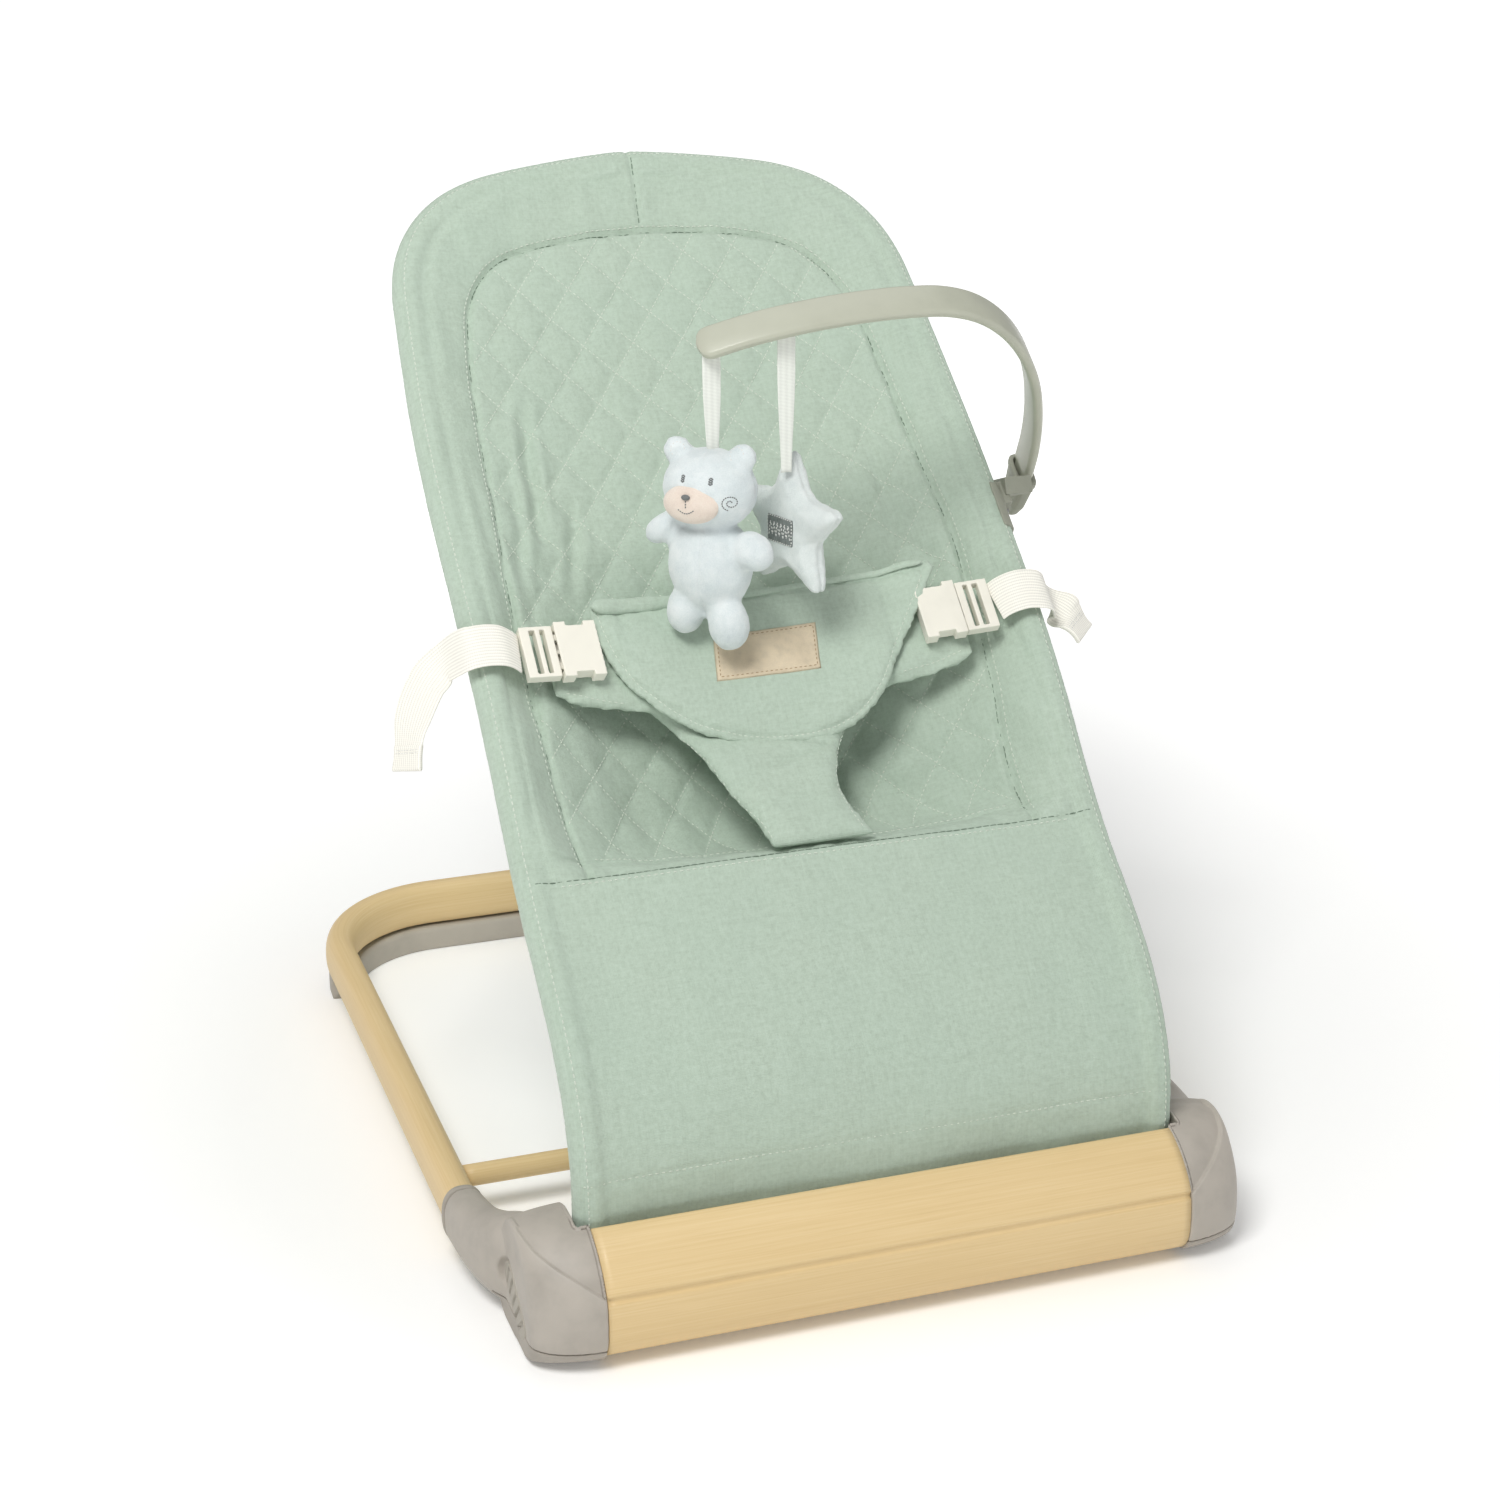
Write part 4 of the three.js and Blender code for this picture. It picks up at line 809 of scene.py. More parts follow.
HUB_A = [[-296, 2], [-309, 7.5], [-316, 17], [-318, 30], [-317.6, 42], [-315.8, 50.5], [-309.5, 61], [-300, 70.5], [-289, 77.5], [-275, 82], [-259, 83], [-246, 80], [-236, 72], [-228, 60], [-222, 45], [-220, 25], [-222, 8], [-229, 2]]
HUB_B = [[-284, 2], [-290, 5], [-293.5, 12], [-294, 22], [-293.4, 32], [-291.5, 42], [-287.8, 52], [-281.5, 62], [-274, 70.5], [-264, 75.5], [-256, 76.5], [-247, 74.5], [-239, 68], [-231, 57], [-224, 44], [-221, 26], [-222, 8], [-229, 2]]
NECK = [[-250, 216, 38, 13, 33], [-236, 219, 37, 16, 31.5], [-218, 228, 34.6, 16.3, 27], [-196, 235, 33.5, 15, 22], [-165.2, 239.3, 33.3, 13.5, 19.3]]
A_ = spline(HUB_A + [HUB_A[0]], 97)[:-1]
B_ = spline(HUB_B + [HUB_B[0]], 97)[:-1]


def hub_body(name, zlo=None, zhi=None):
    t = 1 - (1 - np.linspace(0, 1, 34)) ** 1.7
    f = 1 - np.sqrt(np.maximum(0, 1 - t * t))
    x = 189.35 + (232 - 189.35) * t
    V, n = [], len(A_)
    for xi, fi in zip(x, f):
        r = A_ * (1 - fi) + B_ * fi
        V.append(np.column_stack([np.full(n, xi), r]))
    V = np.vstack(V)
    faces, i = [], np.arange(n)
    for j in range(len(x) - 1):
        faces += np.stack([j * n + i, j * n + (i + 1) % n, (j + 1) * n + (i + 1) % n, (j + 1) * n + i], 1).tolist()
    faces += [list(range(n))[::-1], [(len(x) - 1) * n + k for k in range(n)]]
    return outward(new_mesh(name, V, faces))


def obround(x0, x1, length_, width, n=20, grow=0.0):
    """Tilted obround prism between x0 and x1, at the lock button's place."""
    r = width / 2 + grow
    s = length_ / 2 - width / 2
    t = np.linspace(-np.pi / 2, np.pi / 2, n)
    p = np.vstack([np.stack([s + r * np.cos(t), r * np.sin(t)], 1), np.stack([-s - r * np.cos(t), -r * np.sin(t)], 1)])
    c, s_ = math.cos(0.61), math.sin(0.61)
    q = np.stack([-262 + p[:, 0] * c - p[:, 1] * s_, 27.5 + p[:, 0] * s_ + p[:, 1] * c], 1)
    V = np.vstack([np.column_stack([np.full(len(q), x), q]) for x in (x0, x1)])
    m = len(q)
    f = [(i, (i + 1) % m, m + (i + 1) % m, m + i) for i in range(m)] + [list(range(m))[::-1], [m + i for i in range(m)]]
    return outward(new_mesh("obround", V, f))


def make_hub():
    body = hub_body("hub")
    N = np.array(NECK, float)
    ys = np.linspace(-250, -165.2, 40)
    path = np.column_stack([np.interp(ys, N[:, 0], N[:, 1]), ys, np.interp(ys, N[:, 0], N[:, 2])])
    fit = spline(N.tolist(), 60)
    path = fit[:, [1, 0, 2]]
    secs = np.stack([super_ring(a, b, 2.5, 56) for a, b in fit[:, 3:]])
    neck = sweep("neck", path, secs, (0, 0, 1))
    boolean(body, neck, "UNION")
    low = body.copy(); low.data = body.data.copy()
    SCN.collection.objects.link(low)
    boolean(body, box(150, 197.3, -278.2, -180, 22, 120))
    boolean(body, box(150, 260, -340, -226.8, -10, 15.9))
    boolean(body, obround(230.6, 240, 54, 21, grow=0.9))
    boolean(low, box(150, 260, -340, -150, 15.3, 120))
    boolean(low, box(150, 260, -226.6, -150, -10, 120))
    remesh(body, 1.0, 6, 0.5)
    remesh(low, 1.0, 4, 0.5)
    # the crease: inboard of it the face is sunk to carry the beam's slope on
    co, nn = coords(body), normals(body)
    zb = np.interp(co[:, 0], [189, 193, 199, 207, 216, 225, 230, 232.5], [50.5, 53, 57.5, 62.5, 67.5, 73, 78, 84])
    front_ = smooth(-258, -264, co[:, 1])
    dfront = co[:, 2] - zb
    dtop = 229 - co[:, 0]
    d = np.where(co[:, 1] < -262, dfront, np.minimum(dtop, 20))
    up = nn[:, 2] * 0.75 + -nn[:, 1] * 0.66
    face = smooth(0.25, 0.6, up) * smooth(-232, -244, co[:, 1])
    sink = 2.5 * smooth(-0.8, 0.8, d) * face
    set_coords(body, co - nn * sink[:, None])
    return body, low


hub_r, low_r = make_hub()


def mirrored(o, name):
    co = coords(o) * [-1, 1, 1]
    r = new_mesh(name, co, [list(p.vertices)[::-1] for p in o.data.polygons])
    for m_ in o.data.materials:
        r.data.materials.append(m_)
    return r


hub_l, low_l = mirrored(hub_r, "hub_left_case"), mirrored(low_r, "hub_left_base")
hub_r.name, low_r.name = "hub_right_case", "hub_right_base"
for o, side, part, mat, slot in ((hub_r, "right", "housing", M_HUB, "grey_plastic"), (hub_l, "left", "housing", M_HUB, "grey_plastic"),
                                 (low_r, "right", "lower_shell", M_HUB2, "grey_plastic_dark"), (low_l, "left", "lower_shell", M_HUB2, "grey_plastic_dark")):
    o.data.materials.append(mat)
    done(o, "base", slot, f"hub_{side}_{part}")

ys = np.linspace(-164.6, -159.4, 9)
prof_c = [(0, 13.0, 18.8), (0.15, 13.6, 19.4), (0.4, 13.75, 19.55), (0.75, 13.5, 19.3), (0.93, 12.9, 18.7), (1, 12.2, 18.0)]
for sx, side in ((1, "right"), (-1, "left")):
    path = np.array([(sx * LOOP_X, -164.6 + 5.2 * t, 33.3) for t, _, _ in prof_c])
    o = sweep(f"collar_{side}", path, np.stack([super_ring(a, b, 2.45, 56) for _, a, b in prof_c]), (0, 0, 1), M_HUB2)
    done(o, "base", "grey_plastic", f"tube_collar_{side}")


def make_button():
    """Obround cap with a fan of finger ribs across its face."""
    n, m = 220, 60
    L, W_ = 53.2 / 2, 20.4 / 2
    rr = np.linspace(0, 1, m)
    th = np.linspace(0, 2 * np.pi, n, endpoint=False)
    s = L - W_
    edge = np.stack([np.where(np.abs(np.cos(th)) * 1.0 > 0, 0, 0), th], 1)
    out = []
    t = th
    ex = np.cos(t) * W_ + np.sign(np.cos(t)) * s * np.minimum(1, np.abs(np.cos(t)) * 2.2)
    ez = np.sin(t) * W_
    V = []
    for r in rr:
        a, b = ex * r, ez * r
        dome = 232.9 - 0.9 * r ** 4 - 1.6 * smooth(0.93, 1.0, r)
        fan = np.cos((a / (7.2 + 0.10 * (b + 10))) * 2 * np.pi)
        rib = 1.25 * smooth(0.35, 0.8, fan) * smooth(0.90, 0.82, r)
        V.append(np.column_stack([dome - 0.1 - rib, a, b]))
    V.append(np.column_stack([np.full(n, 228.4), ex * 0.99, ez * 0.99]))
    V = np.vstack(V)
    c, s_ = math.cos(0.61), math.sin(0.61)
    P = np.column_stack([V[:, 0], -262 + V[:, 1] * c - V[:, 2] * s_, 27.5 + V[:, 1] * s_ + V[:, 2] * c])
    f, i = [], np.arange(n)
    for j in range(m):
        f += np.stack([j * n + i, j * n + (i + 1) % n, (j + 1) * n + (i + 1) % n, (j + 1) * n + i], 1).tolist()
    f.append([m * n + k for k in range(n)])
    o = new_mesh("button", P, f)
    bm = bmesh.new(); bm.from_mesh(o.data)
    bmesh.ops.remove_doubles(bm, verts=bm.verts, dist=1e-6)
    bm.to_mesh(o.data); bm.free()
    return outward(o)


btn = make_button()
btn_l = mirrored(btn, "button_left")
btn.name = "button_right"
for o, side in ((btn, "right"), (btn_l, "left")):
    o.data.materials.append(M_BTN)
    done(outward(o), f"lock_{side}", "grey_plastic_dark", f"lock_button_{side}")

# ------------------------------------------------------------------ seat tube and the seat's own surface
tp = lambda x, s: (x, 124 + 0.75189 * s, 485.7 + 0.65929 * s)
LEG = [(185.5, -266, 36), (185.5, -266, 60), (185.5, -265.8, 84), (185.5, -264, 108), (185.5, -257, 130), (185.5, -246, 151), (185.5, -229, 173), (185.5, -200, 199.5), (185.5, -164, 228),
       (185.5, -128, 263), (185.5, -92, 303.5), (185.5, -54, 341), (185.5, 0, 385.5), (185.2, 60, 433)]
TOP = [tp(*q) for q in ((183, -18), (180.4, 22), (177.5, 60), (175, 85), (169.5, 107), (161, 125), (148, 142), (130, 156.5), (108, 166.5), (86, 172), (58, 177), (26, 181.5), (0, 183.5))]
ctl = LEG + TOP
ctl = ctl + [(-x, y, z) for x, y, z in ctl[:-1]][::-1]
UC = spline(ctl, 721)
SP = spline([(0, y, z) for _, y, z in ctl[1:15]] + [tp(0, q) for q in (22, 60, 100, 140, 200)], 1601)
S_ALL = np.r_[0, np.cumsum(np.linalg.norm(np.diff(SP, axis=0), axis=1))]
ST = np.gradient(SP, axis=0); ST /= np.linalg.norm(ST, axis=1)[:, None]
k9 = np.ones(61) / 61
STs = np.stack([np.convolve(np.pad(ST[:, i], 30, mode="edge"), k9, "valid") for i in range(3)], 1)
STs /= np.linalg.norm(STs, axis=1)[:, None]
s_of_z = lambda z: np.interp(z, SP[:, 2], S_ALL)
z_of_s = lambda s: np.interp(s, S_ALL, SP[:, 2])


def seat_point(x, s, hgt):
    x, s, hgt = np.broadcast_arrays(np.asarray(x, float), np.asarray(s, float), np.asarray(hgt, float))
    over = np.maximum(0, s - S_ALL[-1])
    p = np.stack([np.interp(s, S_ALL, SP[:, i]) for i in range(3)], -1)
    t = np.stack([np.interp(s, S_ALL, STs[:, i]) for i in range(3)], -1)
    p = p + t * over[..., None]
    n = np.stack([0 * x, -t[..., 2], t[..., 1]], -1)
    p = p + n * hgt[..., None]
    p[..., 0] += x
    return p, n, t


o = sweep("seat_frame", UC, super_ring(8, 8, 2, 28), (0, 1, 0.3), M_TUBE)
done(o, "seat", "frame_metal", "seat_tube")
o = sweep("seat_rung", np.column_stack([np.linspace(-177, 177, 30), np.full(30, -266.0), np.full(30, 68.0)]), super_ring(5, 5, 2, 24), (0, 0, 1), M_TUBE)
done(o, "seat", "frame_metal", "seat_lower_rung")

R_SL = 10.6
S_SEAM, S_HEM = 228.0, 9.0
C2 = np.column_stack([UC[:, 0], s_of_z(UC[:, 2])])            # tube centre line in (x, s)
C2[:, 1] = np.where(UC[:, 2] > SP[-1, 2], S_ALL[-1], C2[:, 1])
C2 = C2[(C2[:, 1] > 4)]
C2 = resample(C2, 900)
CT = np.gradient(C2, axis=0); CT /= np.linalg.norm(CT, axis=1)[:, None]
CN = np.stack([CT[:, 1], -CT[:, 0]], 1)                        # outward for a path that climbs the right side
if CN[10, 0] < 0:
    CN = -CN


def tube_dist(x, s):
    """Distance from the tube's centre line, positive inside the seat."""
    sh = np.shape(x)
    X = np.stack([np.ravel(x), np.ravel(s)], 1)
    best = np.full(len(X), 1e9); sign = np.ones(len(X))
    for c in range(0, len(X), 20000):
        d = X[c:c + 20000, None] - C2[None, ::2]
        q = (d ** 2).sum(2)
        i = q.argmin(1)
        v = d[np.arange(len(i)), i]
        nn = CN[::2][i]
        tt = CT[::2][i]
        a = (v * nn).sum(1)
        b = (v * tt).sum(1)
        lat = np.sqrt(np.maximum(q[np.arange(len(i)), i] - b * b * (np.abs(b) < 1.5), 0))
        best[c:c + 20000] = lat
        sign[c:c + 20000] = np.where(a > 0, -1, 1)
    return (best * sign).reshape(sh)


PANEL = [[200, 147], [300, 153], [369, 157], [420, 156.5], [460, 155.5], [500, 152.5], [550, 149.5], [600, 146], [640, 140.5], [665, 135], [685, 125], [700, 112], [710, 96], [716, 76], [721, 50], [724.5, 22], [726, 0]]
pan = np.array(PANEL, float)
pan_line = spline(np.column_stack([pan[:, 1], pan[:, 0]]), 400)
pan_line = np.vstack([pan_line, (pan_line[:-1] * [-1, 1])[::-1]])
pt = np.gradient(pan_line, axis=0); pt /= np.linalg.norm(pt, axis=1)[:, None]
pn = np.stack([pt[:, 1], -pt[:, 0]], 1)


def line_dist(x, s, line, nrm):
    """Signed distance to a polyline, positive on the side away from nrm."""
    sh = np.shape(x)
    X = np.stack([np.ravel(x), np.ravel(s)], 1)
    out = np.zeros(len(X))
    for c in range(0, len(X), 20000):
        d = X[c:c + 20000, None] - line[None]
        q = (d ** 2).sum(2)
        i = q.argmin(1)
        v = d[np.arange(len(i)), i]
        out[c:c + 20000] = np.where((v * nrm[i]).sum(1) > 0, -1, 1) * np.sqrt(q[np.arange(len(i)), i])
    return out.reshape(sh)


IN_EDGE = [[-400, 174.4], [-20, 171.8], [22, 168.9], [60, 166.2], [85, 163.6], [103, 159.5], [118, 152.5], [132, 142], [144, 128], [152, 112], [158, 92], [163, 66], [167, 40], [170, 12], [173, 4]]
SAG = [[245.8, 3], [252, 31], [262, 52], [280, 65], [305, 66], [335, 58], [370, 42], [410, 29], [460, 20], [520, 15], [560, 10], [590, 5], [600, 2], [620, 0]]
sag_s = np.arange(S_SEAM - 6, 800, 1.0)
sag_v = interp(SAG, z_of_s(sag_s)) * (sag_s > S_SEAM)
kk = np.exp(-0.5 * (np.arange(-12, 13) / 4.0) ** 2); kk /= kk.sum()
sag_v = np.convolve(np.pad(sag_v, 12, mode="edge"), kk, "valid")
TH1, TH2, PITCH = math.radians(53.5), math.radians(-50.5), 28.5


def quilt_coords(x, s):
    a = (x * math.sin(TH1) - s * math.cos(TH1) + 482.0) / PITCH       # constant along the steep lines
    b = (x * math.sin(TH2) - s * math.cos(TH2) + 329.1) / PITCH
    return a, b


def heights(x, s):
    """Front and back heights of the cover over the seat's middle surface, in mm."""
    a = tube_dist(x, s)
    z = z_of_s(np.minimum(s, S_ALL[-1]))
    w = interp(IN_EDGE, (z - 485.7) / 0.65929)
    w = np.maximum(w, 8)
    kx = np.clip(np.abs(x) / w, 0, 1)
    low = smooth(S_SEAM + 1.5, S_SEAM - 1.5, s)
    wob = fbm(x / 70, s / 55, 3) * 1.3 + fbm(x / 26, s / 90, 5) * 0.5
    m_front = 4.8 + wob * smooth(0, 30, a) + 1.2 * np.exp(-((s - S_SEAM) / 7) ** 2)
    sag = np.interp(s, sag_s, sag_v) * np.maximum(0, 1 - kx ** 2.6) ** 0.9
    m = m_front * low - sag * (1 - low)
    # folds in the slung part: long soft ones near the sides, deep ones low in the bucket
    deep = smooth(S_SEAM, S_SEAM + 25, s) * smooth(480, 360, s)
    fold = noise(x / 34, s / 60, 21) * 3.2 * deep + noise((x + s * 0.4) / 22, (s - x * 0.3) / 34, 23) * 2.2 * deep
    side = smooth(14, 24, a) * smooth(58, 34, a) * smooth(250, 330, s) * smooth(620, 500, s)
    fold = fold + side * (1.6 * np.sin((x + 0.05 * s + 6 * noise(x / 60, s / 60, 31)) / 3.6) * smooth(-0.2, 0.5, noise(x / 25, s / 70, 33)))
    soft = fbm(x / 55, s / 55, 41) * 1.2 * (1 - low)
    e = line_dist(x, s, pan_line, pn)                         # positive inside the quilted panel
    inside = smooth(0, 5, e)
    qa, qb = quilt_coords(x, s)
    wav = 0.06 * noise(x / 40, s / 40, 51)
    da = np.abs((qa + wav) - np.round(qa + wav)) * PITCH
    db = np.abs((qb - wav) - np.round(qb - wav)) * PITCH
    g = (1 - np.exp(-(da / 4.6) ** 1.3)) * (1 - np.exp(-(db / 4.6) ** 1.3)) * (1 - np.exp(-(np.maximum(e, 0) / 7.0) ** 1.3))
    puck = (np.exp(-da / 5) * np.sin((qb * PITCH) / 1.9 + 3 * noise(x / 12, s / 12, 53)) + np.exp(-db / 5) * np.sin((qa * PITCH) / 1.9 + 3 * noise(x / 12, s / 12, 54))) * 0.32
    gather = np.exp(-np.abs(e) / 6) * np.sin((x * 0.8 + s * 1.1) / 2.4 + 3 * noise(x / 14, s / 14, 57)) * 0.38
    ql = (2.3 * g + 0.7 * puck + gather + 1.0) * inside * (1 - low)
    for x0_, s0_, x1_, s1_, dep, wid in ((-112, 600, -128, 462, 3.4, 4.2), (-96, 520, -112, 430, 2.2, 4.0), (122, 560, 118, 440, 2.2, 4.5), (-134, 540, -146, 440, 2.2, 3.6), (70, 470, 40, 400, 1.8, 5.0), (-60, 470, -40, 405, 1.8, 5.0)):
        tt0 = np.clip(((x - x0_) * (x1_ - x0_) + (s - s0_) * (s1_ - s0_)) / ((x1_ - x0_) ** 2 + (s1_ - s0_) ** 2), 0, 1)
        dd0 = np.sqrt((x - x0_ - tt0 * (x1_ - x0_) - 3 * noise(s / 30, x * 0, 77)) ** 2 + (s - s0_ - tt0 * (s1_ - s0_)) ** 2)
        ql = ql + (-dep * np.exp(-(dd0 / wid) ** 2) + 0.6 * dep * np.exp(-((dd0 - 2.1 * wid) / wid) ** 2)) * np.sin(np.pi * np.clip(tt0, 0.02, 0.98)) * (1 - low)
    band = (1 - inside) * (1 - low) * smooth(8, 18, a)
    ql = ql + band * (2.6 * (1 - np.exp(-(np.maximum(-e, 0) / 6.0) ** 1.3)) + gather * 0.8 + 0.9 * noise(x / 20, s / 26, 61) + 0.5 * noise(x / 9, s / 14, 63))
    ql = ql - 2.9 * np.exp(-(e / 1.7) ** 2) * (1 - low)
    body = m + fold + soft + (1 - low) * 5.4 * smooth(58, 6, a) * (1 - 0.97 * np.exp(-((s - 388) / 44.0) ** 4))
    tube = np.where(np.abs(a) < R_SL, np.sqrt(np.maximum(0, R_SL ** 2 - a ** 2)), np.where(a > 0, -(a - R_SL) * 2.2, 0))
    sl = tube + smooth(-9, -2, a) * (0.35 * np.sin(s / 5.5 + 4 * noise(x / 30, s / 30, 71)) * smooth(0.0, 0.6, noise(x / 40, s / 60, 73))) - 0.7 * np.exp(-((a + 5.2) / 0.9) ** 2) + 0.35 * np.exp(-((a + 3.2) / 1.0) ** 2)
    cut = 3.0 * np.maximum(0, 2 - a)
    front = smax(sl, body + ql + 2.4 - cut, 3.0)
    back = -smax(tube + 0.25 * np.sin(s / 7 + x / 5), -(body - 2.4) - cut, 3.0)
    back = np.minimum(back, front - 0.6)
    # seam lines across the seat
    front = front - 0.9 * np.exp(-((s - S_SEAM + 1.0) / 1.1) ** 2) * smooth(6, 12, a) - 1.5 * np.exp(-((s - S_SEAM - 15) / 1.6) ** 2) * smooth(16, 24, a)
    front = front - 1.8 * np.exp(-((x - 3) / 1.5) ** 2) * smooth(728, 732, s)
    hem = smooth(S_HEM, S_HEM + 3.5, s)
    front = front * (0.82 + 0.18 * hem) - 0.6 * np.exp(-((s - S_HEM - 33) / 1.0) ** 2)
    return front, back


def outline():
    i = np.arange(len(C2))
    P = C2 + CN * R_SL
    P[:, 1] = P[:, 1]
    keep = P[:, 1] >= S_HEM
    P = P[keep]
    P = np.vstack([[P[0, 0], S_HEM], P, [P[-1, 0], S_HEM]])
    return resample(P, 3001), CN[keep]


OUT, _ = outline()
if OUT[0, 0] < 0:
    OUT = OUT[::-1]
d45 = np.gradient(OUT, axis=0); ang = np.degrees(np.arctan2(d45[:, 1], -d45[:, 0]))
iR = int(np.argmax(ang < 45)); iL = len(OUT) - 1 - iR
right, topc, left = OUT[:iR + 1], OUT[iR:iL + 1][::-1], OUT[iL:][::-1]


def density(n, f):
    t = np.linspace(0, 1, 4001)
    c = np.r_[0, np.cumsum((f(t)[1:] + f(t)[:-1]) / 2)]
    return np.interp(np.linspace(0, c[-1], n), c, t)


q_ = 1.0
NU, NV = int(260 * q_), int(460 * q_)
Lr = length(right)
uu = density(NU, lambda t: 1 + 2.6 * np.exp(-(np.minimum(t, 1 - t) * 392 / 9) ** 2) + 6 * np.exp(-(np.minimum(t, 1 - t) * 392 / 1.5) ** 2))
vv = density(NV, lambda t: 1 + 2.4 * np.exp(-(((t * Lr + S_HEM) - 246) / 10) ** 2) + 2.0 * np.exp(-((1 - t) * Lr / 10) ** 2) + 6 * np.exp(-((1 - t) * Lr / 1.5) ** 2))
Bt = resample(np.array([left[0], right[0]]), uu)[None]
Tt = resample(topc, uu)[None]
Lt, Rt = resample(left, vv)[:, None], resample(right, vv)[:, None]
v_, u_ = vv[:, None, None], uu[None, :, None]
G = (1 - v_) * Bt + v_ * Tt + (1 - u_) * Lt + u_ * Rt - ((1 - u_) * (1 - v_) * left[0] + u_ * (1 - v_) * right[0] + (1 - u_) * v_ * topc[0] + u_ * v_ * topc[-1])
gx, gs = G[..., 0], G[..., 1]
hf, hb = heights(gx, gs)
for h_ in (hf, hb):
    h_[:, 0] = 0; h_[:, -1] = 0; h_[-1] = 0
hb[0] = hf[0]
Pf, Nf, _ = seat_point(gx, gs, hf)
Pb, _, _ = seat_point(gx, gs, hb)
cover = grid_solid("seat_cover", Pf, Pb, M_FABRIC, np.stack([gx, gs, hf], -1) / 1000)
done(cover, "seat", "cover_fabric", "cover_sleeve", "cover_front_panel", "cover_bucket", "cover_backrest")

st = Stitches()


def on_cover(xs, ss):
    f, _ = heights(np.asarray(xs, float), np.asarray(ss, float))
    p, n, t = seat_point(xs, ss, f)
    return p, n


def cover_line(pts, pitch=4.2, fill=0.7):
    Q = resample(pts, max(int(length(pts) / 1.5), 3))
    p, n = on_cover(Q[:, 0], Q[:, 1])
    st.line(p, n, pitch, fill)


for off in (3.0,):
    ring = pan_line - pn * -off
    cover_line(ring[ring[:, 1] > S_SEAM + 8])
ring = C2 + CN * 3.2
ring = ring[ring[:, 1] > S_HEM + 2]
cover_line(ring)
xs = np.linspace(-170, 170, 300)
cover_line(np.column_stack([xs, np.full(300, S_SEAM - 4.2)]))
cover_line(np.column_stack([np.linspace(-140, 140, 240), np.full(240, S_SEAM + 18.5)]))
cover_line(np.column_stack([np.linspace(-192, 192, 300), np.full(300, S_HEM + 33)]))
for fam in (0, 1):
    th = (TH1, TH2)[fam]
    d_ = np.array([math.cos(th), math.sin(th)]); n_ = np.array([math.sin(th), -math.cos(th)])
    for k in range(-30, 31):
        t = np.linspace(-900, 900, 1201)
        L = n_ * (k * PITCH - (482.0, 329.1)[fam]) + np.outer(t, d_)
        sel = (L[:, 1] > S_SEAM + 22) & (L[:, 1] < 724) & (np.abs(L[:, 0]) < 158)
        if sel.sum() < 12:
            continue
        L = L[sel]
        e = line_dist(L[:, 0], L[:, 1], pan_line, pn)
        L = L[e > 2.0]
        if len(L) > 10:
            cover_line(L, 3.6, 0.7)
st.make("cover_stitching", 0.46, M_THREAD, "seat", "cover_fabric", 0.1)
# dark thread laid along the sewn joins: painted shade that makes them read as thin sunk lines
st = Stitches()
ring = pan_line - pn * -0.2
cover_line(ring[ring[:, 1] > S_SEAM + 4], 5.0, 0.99)
cover_line(np.column_stack([np.linspace(2.2, 4.5, 60), np.linspace(731, 779, 60)]), 5.0, 0.99)
cover_line(np.column_stack([np.linspace(-186, 186, 300), np.full(300, S_SEAM - 0.8)]), 5.0, 0.99)
st.make("cover_seam_painted_shade", 0.42, M_SEAM_PAINTED_SHADE, "seat", "cover_fabric", 0.0)

# ------------------------------------------------------------------ waist belt
BO, BV, BN = np.array([0, -42, 355.1]), np.array([0, 0.75189, 0.65929]), np.array([0, -0.65929, 0.75189])
EXV = np.array([1.0, 0, 0])


def bp(x, s, o_):
    x, s, o_ = np.broadcast_arrays(np.asarray(x, float), np.asarray(s, float), np.asarray(o_, float))
    return BO + x[..., None] * EXV + s[..., None] * BV + o_[..., None] * BN


belt_off = lambda x, s: -24 + 15 * (np.abs(x) / 140) ** 2 - 0.10 * np.maximum(0, -s - 40)


def slab(name, cols, off, half, n=64, k=26, edge=5.0):
    """Padded slab in the belt's frame; cols: x, low s, high s."""
    c = spline([list(q) for q in cols], n)
    t = (1 - np.cos(np.linspace(0, np.pi, k))) / 2
    X = np.repeat(c[:, :1], k, 1)
    S = c[:, 1:2] * (1 - t) + c[:, 2:3] * t
    inner = np.minimum(np.minimum(S - c[:, 1:2], c[:, 2:3] - S), np.minimum(X - c[0, 0], c[-1, 0] - X) * 1.0)
    hh = half * np.sqrt(np.clip(1 - (1 - np.clip(inner / edge, 0, 1)) ** 2, 0, 1))
    o_ = off(X, S)
    F, B = bp(X, S, o_ + hh), bp(X, S, o_ - hh)
    return grid_solid(name, F, B, M_FABRIC, np.stack([X, S, o_], -1) / 1000)


wings = slab("belt_pad", [(-145, -24, 13), (-136, -31, 20), (-120, -36, 27), (-80, -46, 36), (-40, -52, 40), (0, -54, 41), (40, -52, 40), (80, -46, 37), (120, -39, 29), (138, -34, 22), (147, -27, 12)], belt_off, 3.6)
rows = [(-38, -84, 70), (-60, -69, 56), (-80, -59, 42), (-100, -52, 33.5), (-114, -46, 30.5), (-125, -40, 31.5), (-138, -35.5, 34), (-156, -32, 40)]
rr = spline([list(q) for q in rows], 44)
t = (1 - np.cos(np.linspace(0, np.pi, 24))) / 2
S = np.repeat(rr[:, :1], 24, 1)
X = rr[:, 1:2] * (1 - t) + rr[:, 2:3] * t
oo = np.where(S < -60, -26 + (-S - 60) / 89 * 16.5, -26.0) + 1.6 * np.exp(-((S + 90) / 18) ** 2)
inner = np.minimum(np.minimum(X - rr[:, 1:2], rr[:, 2:3] - X), np.minimum(S - rr[-1, 0], rr[0, 0] - S))
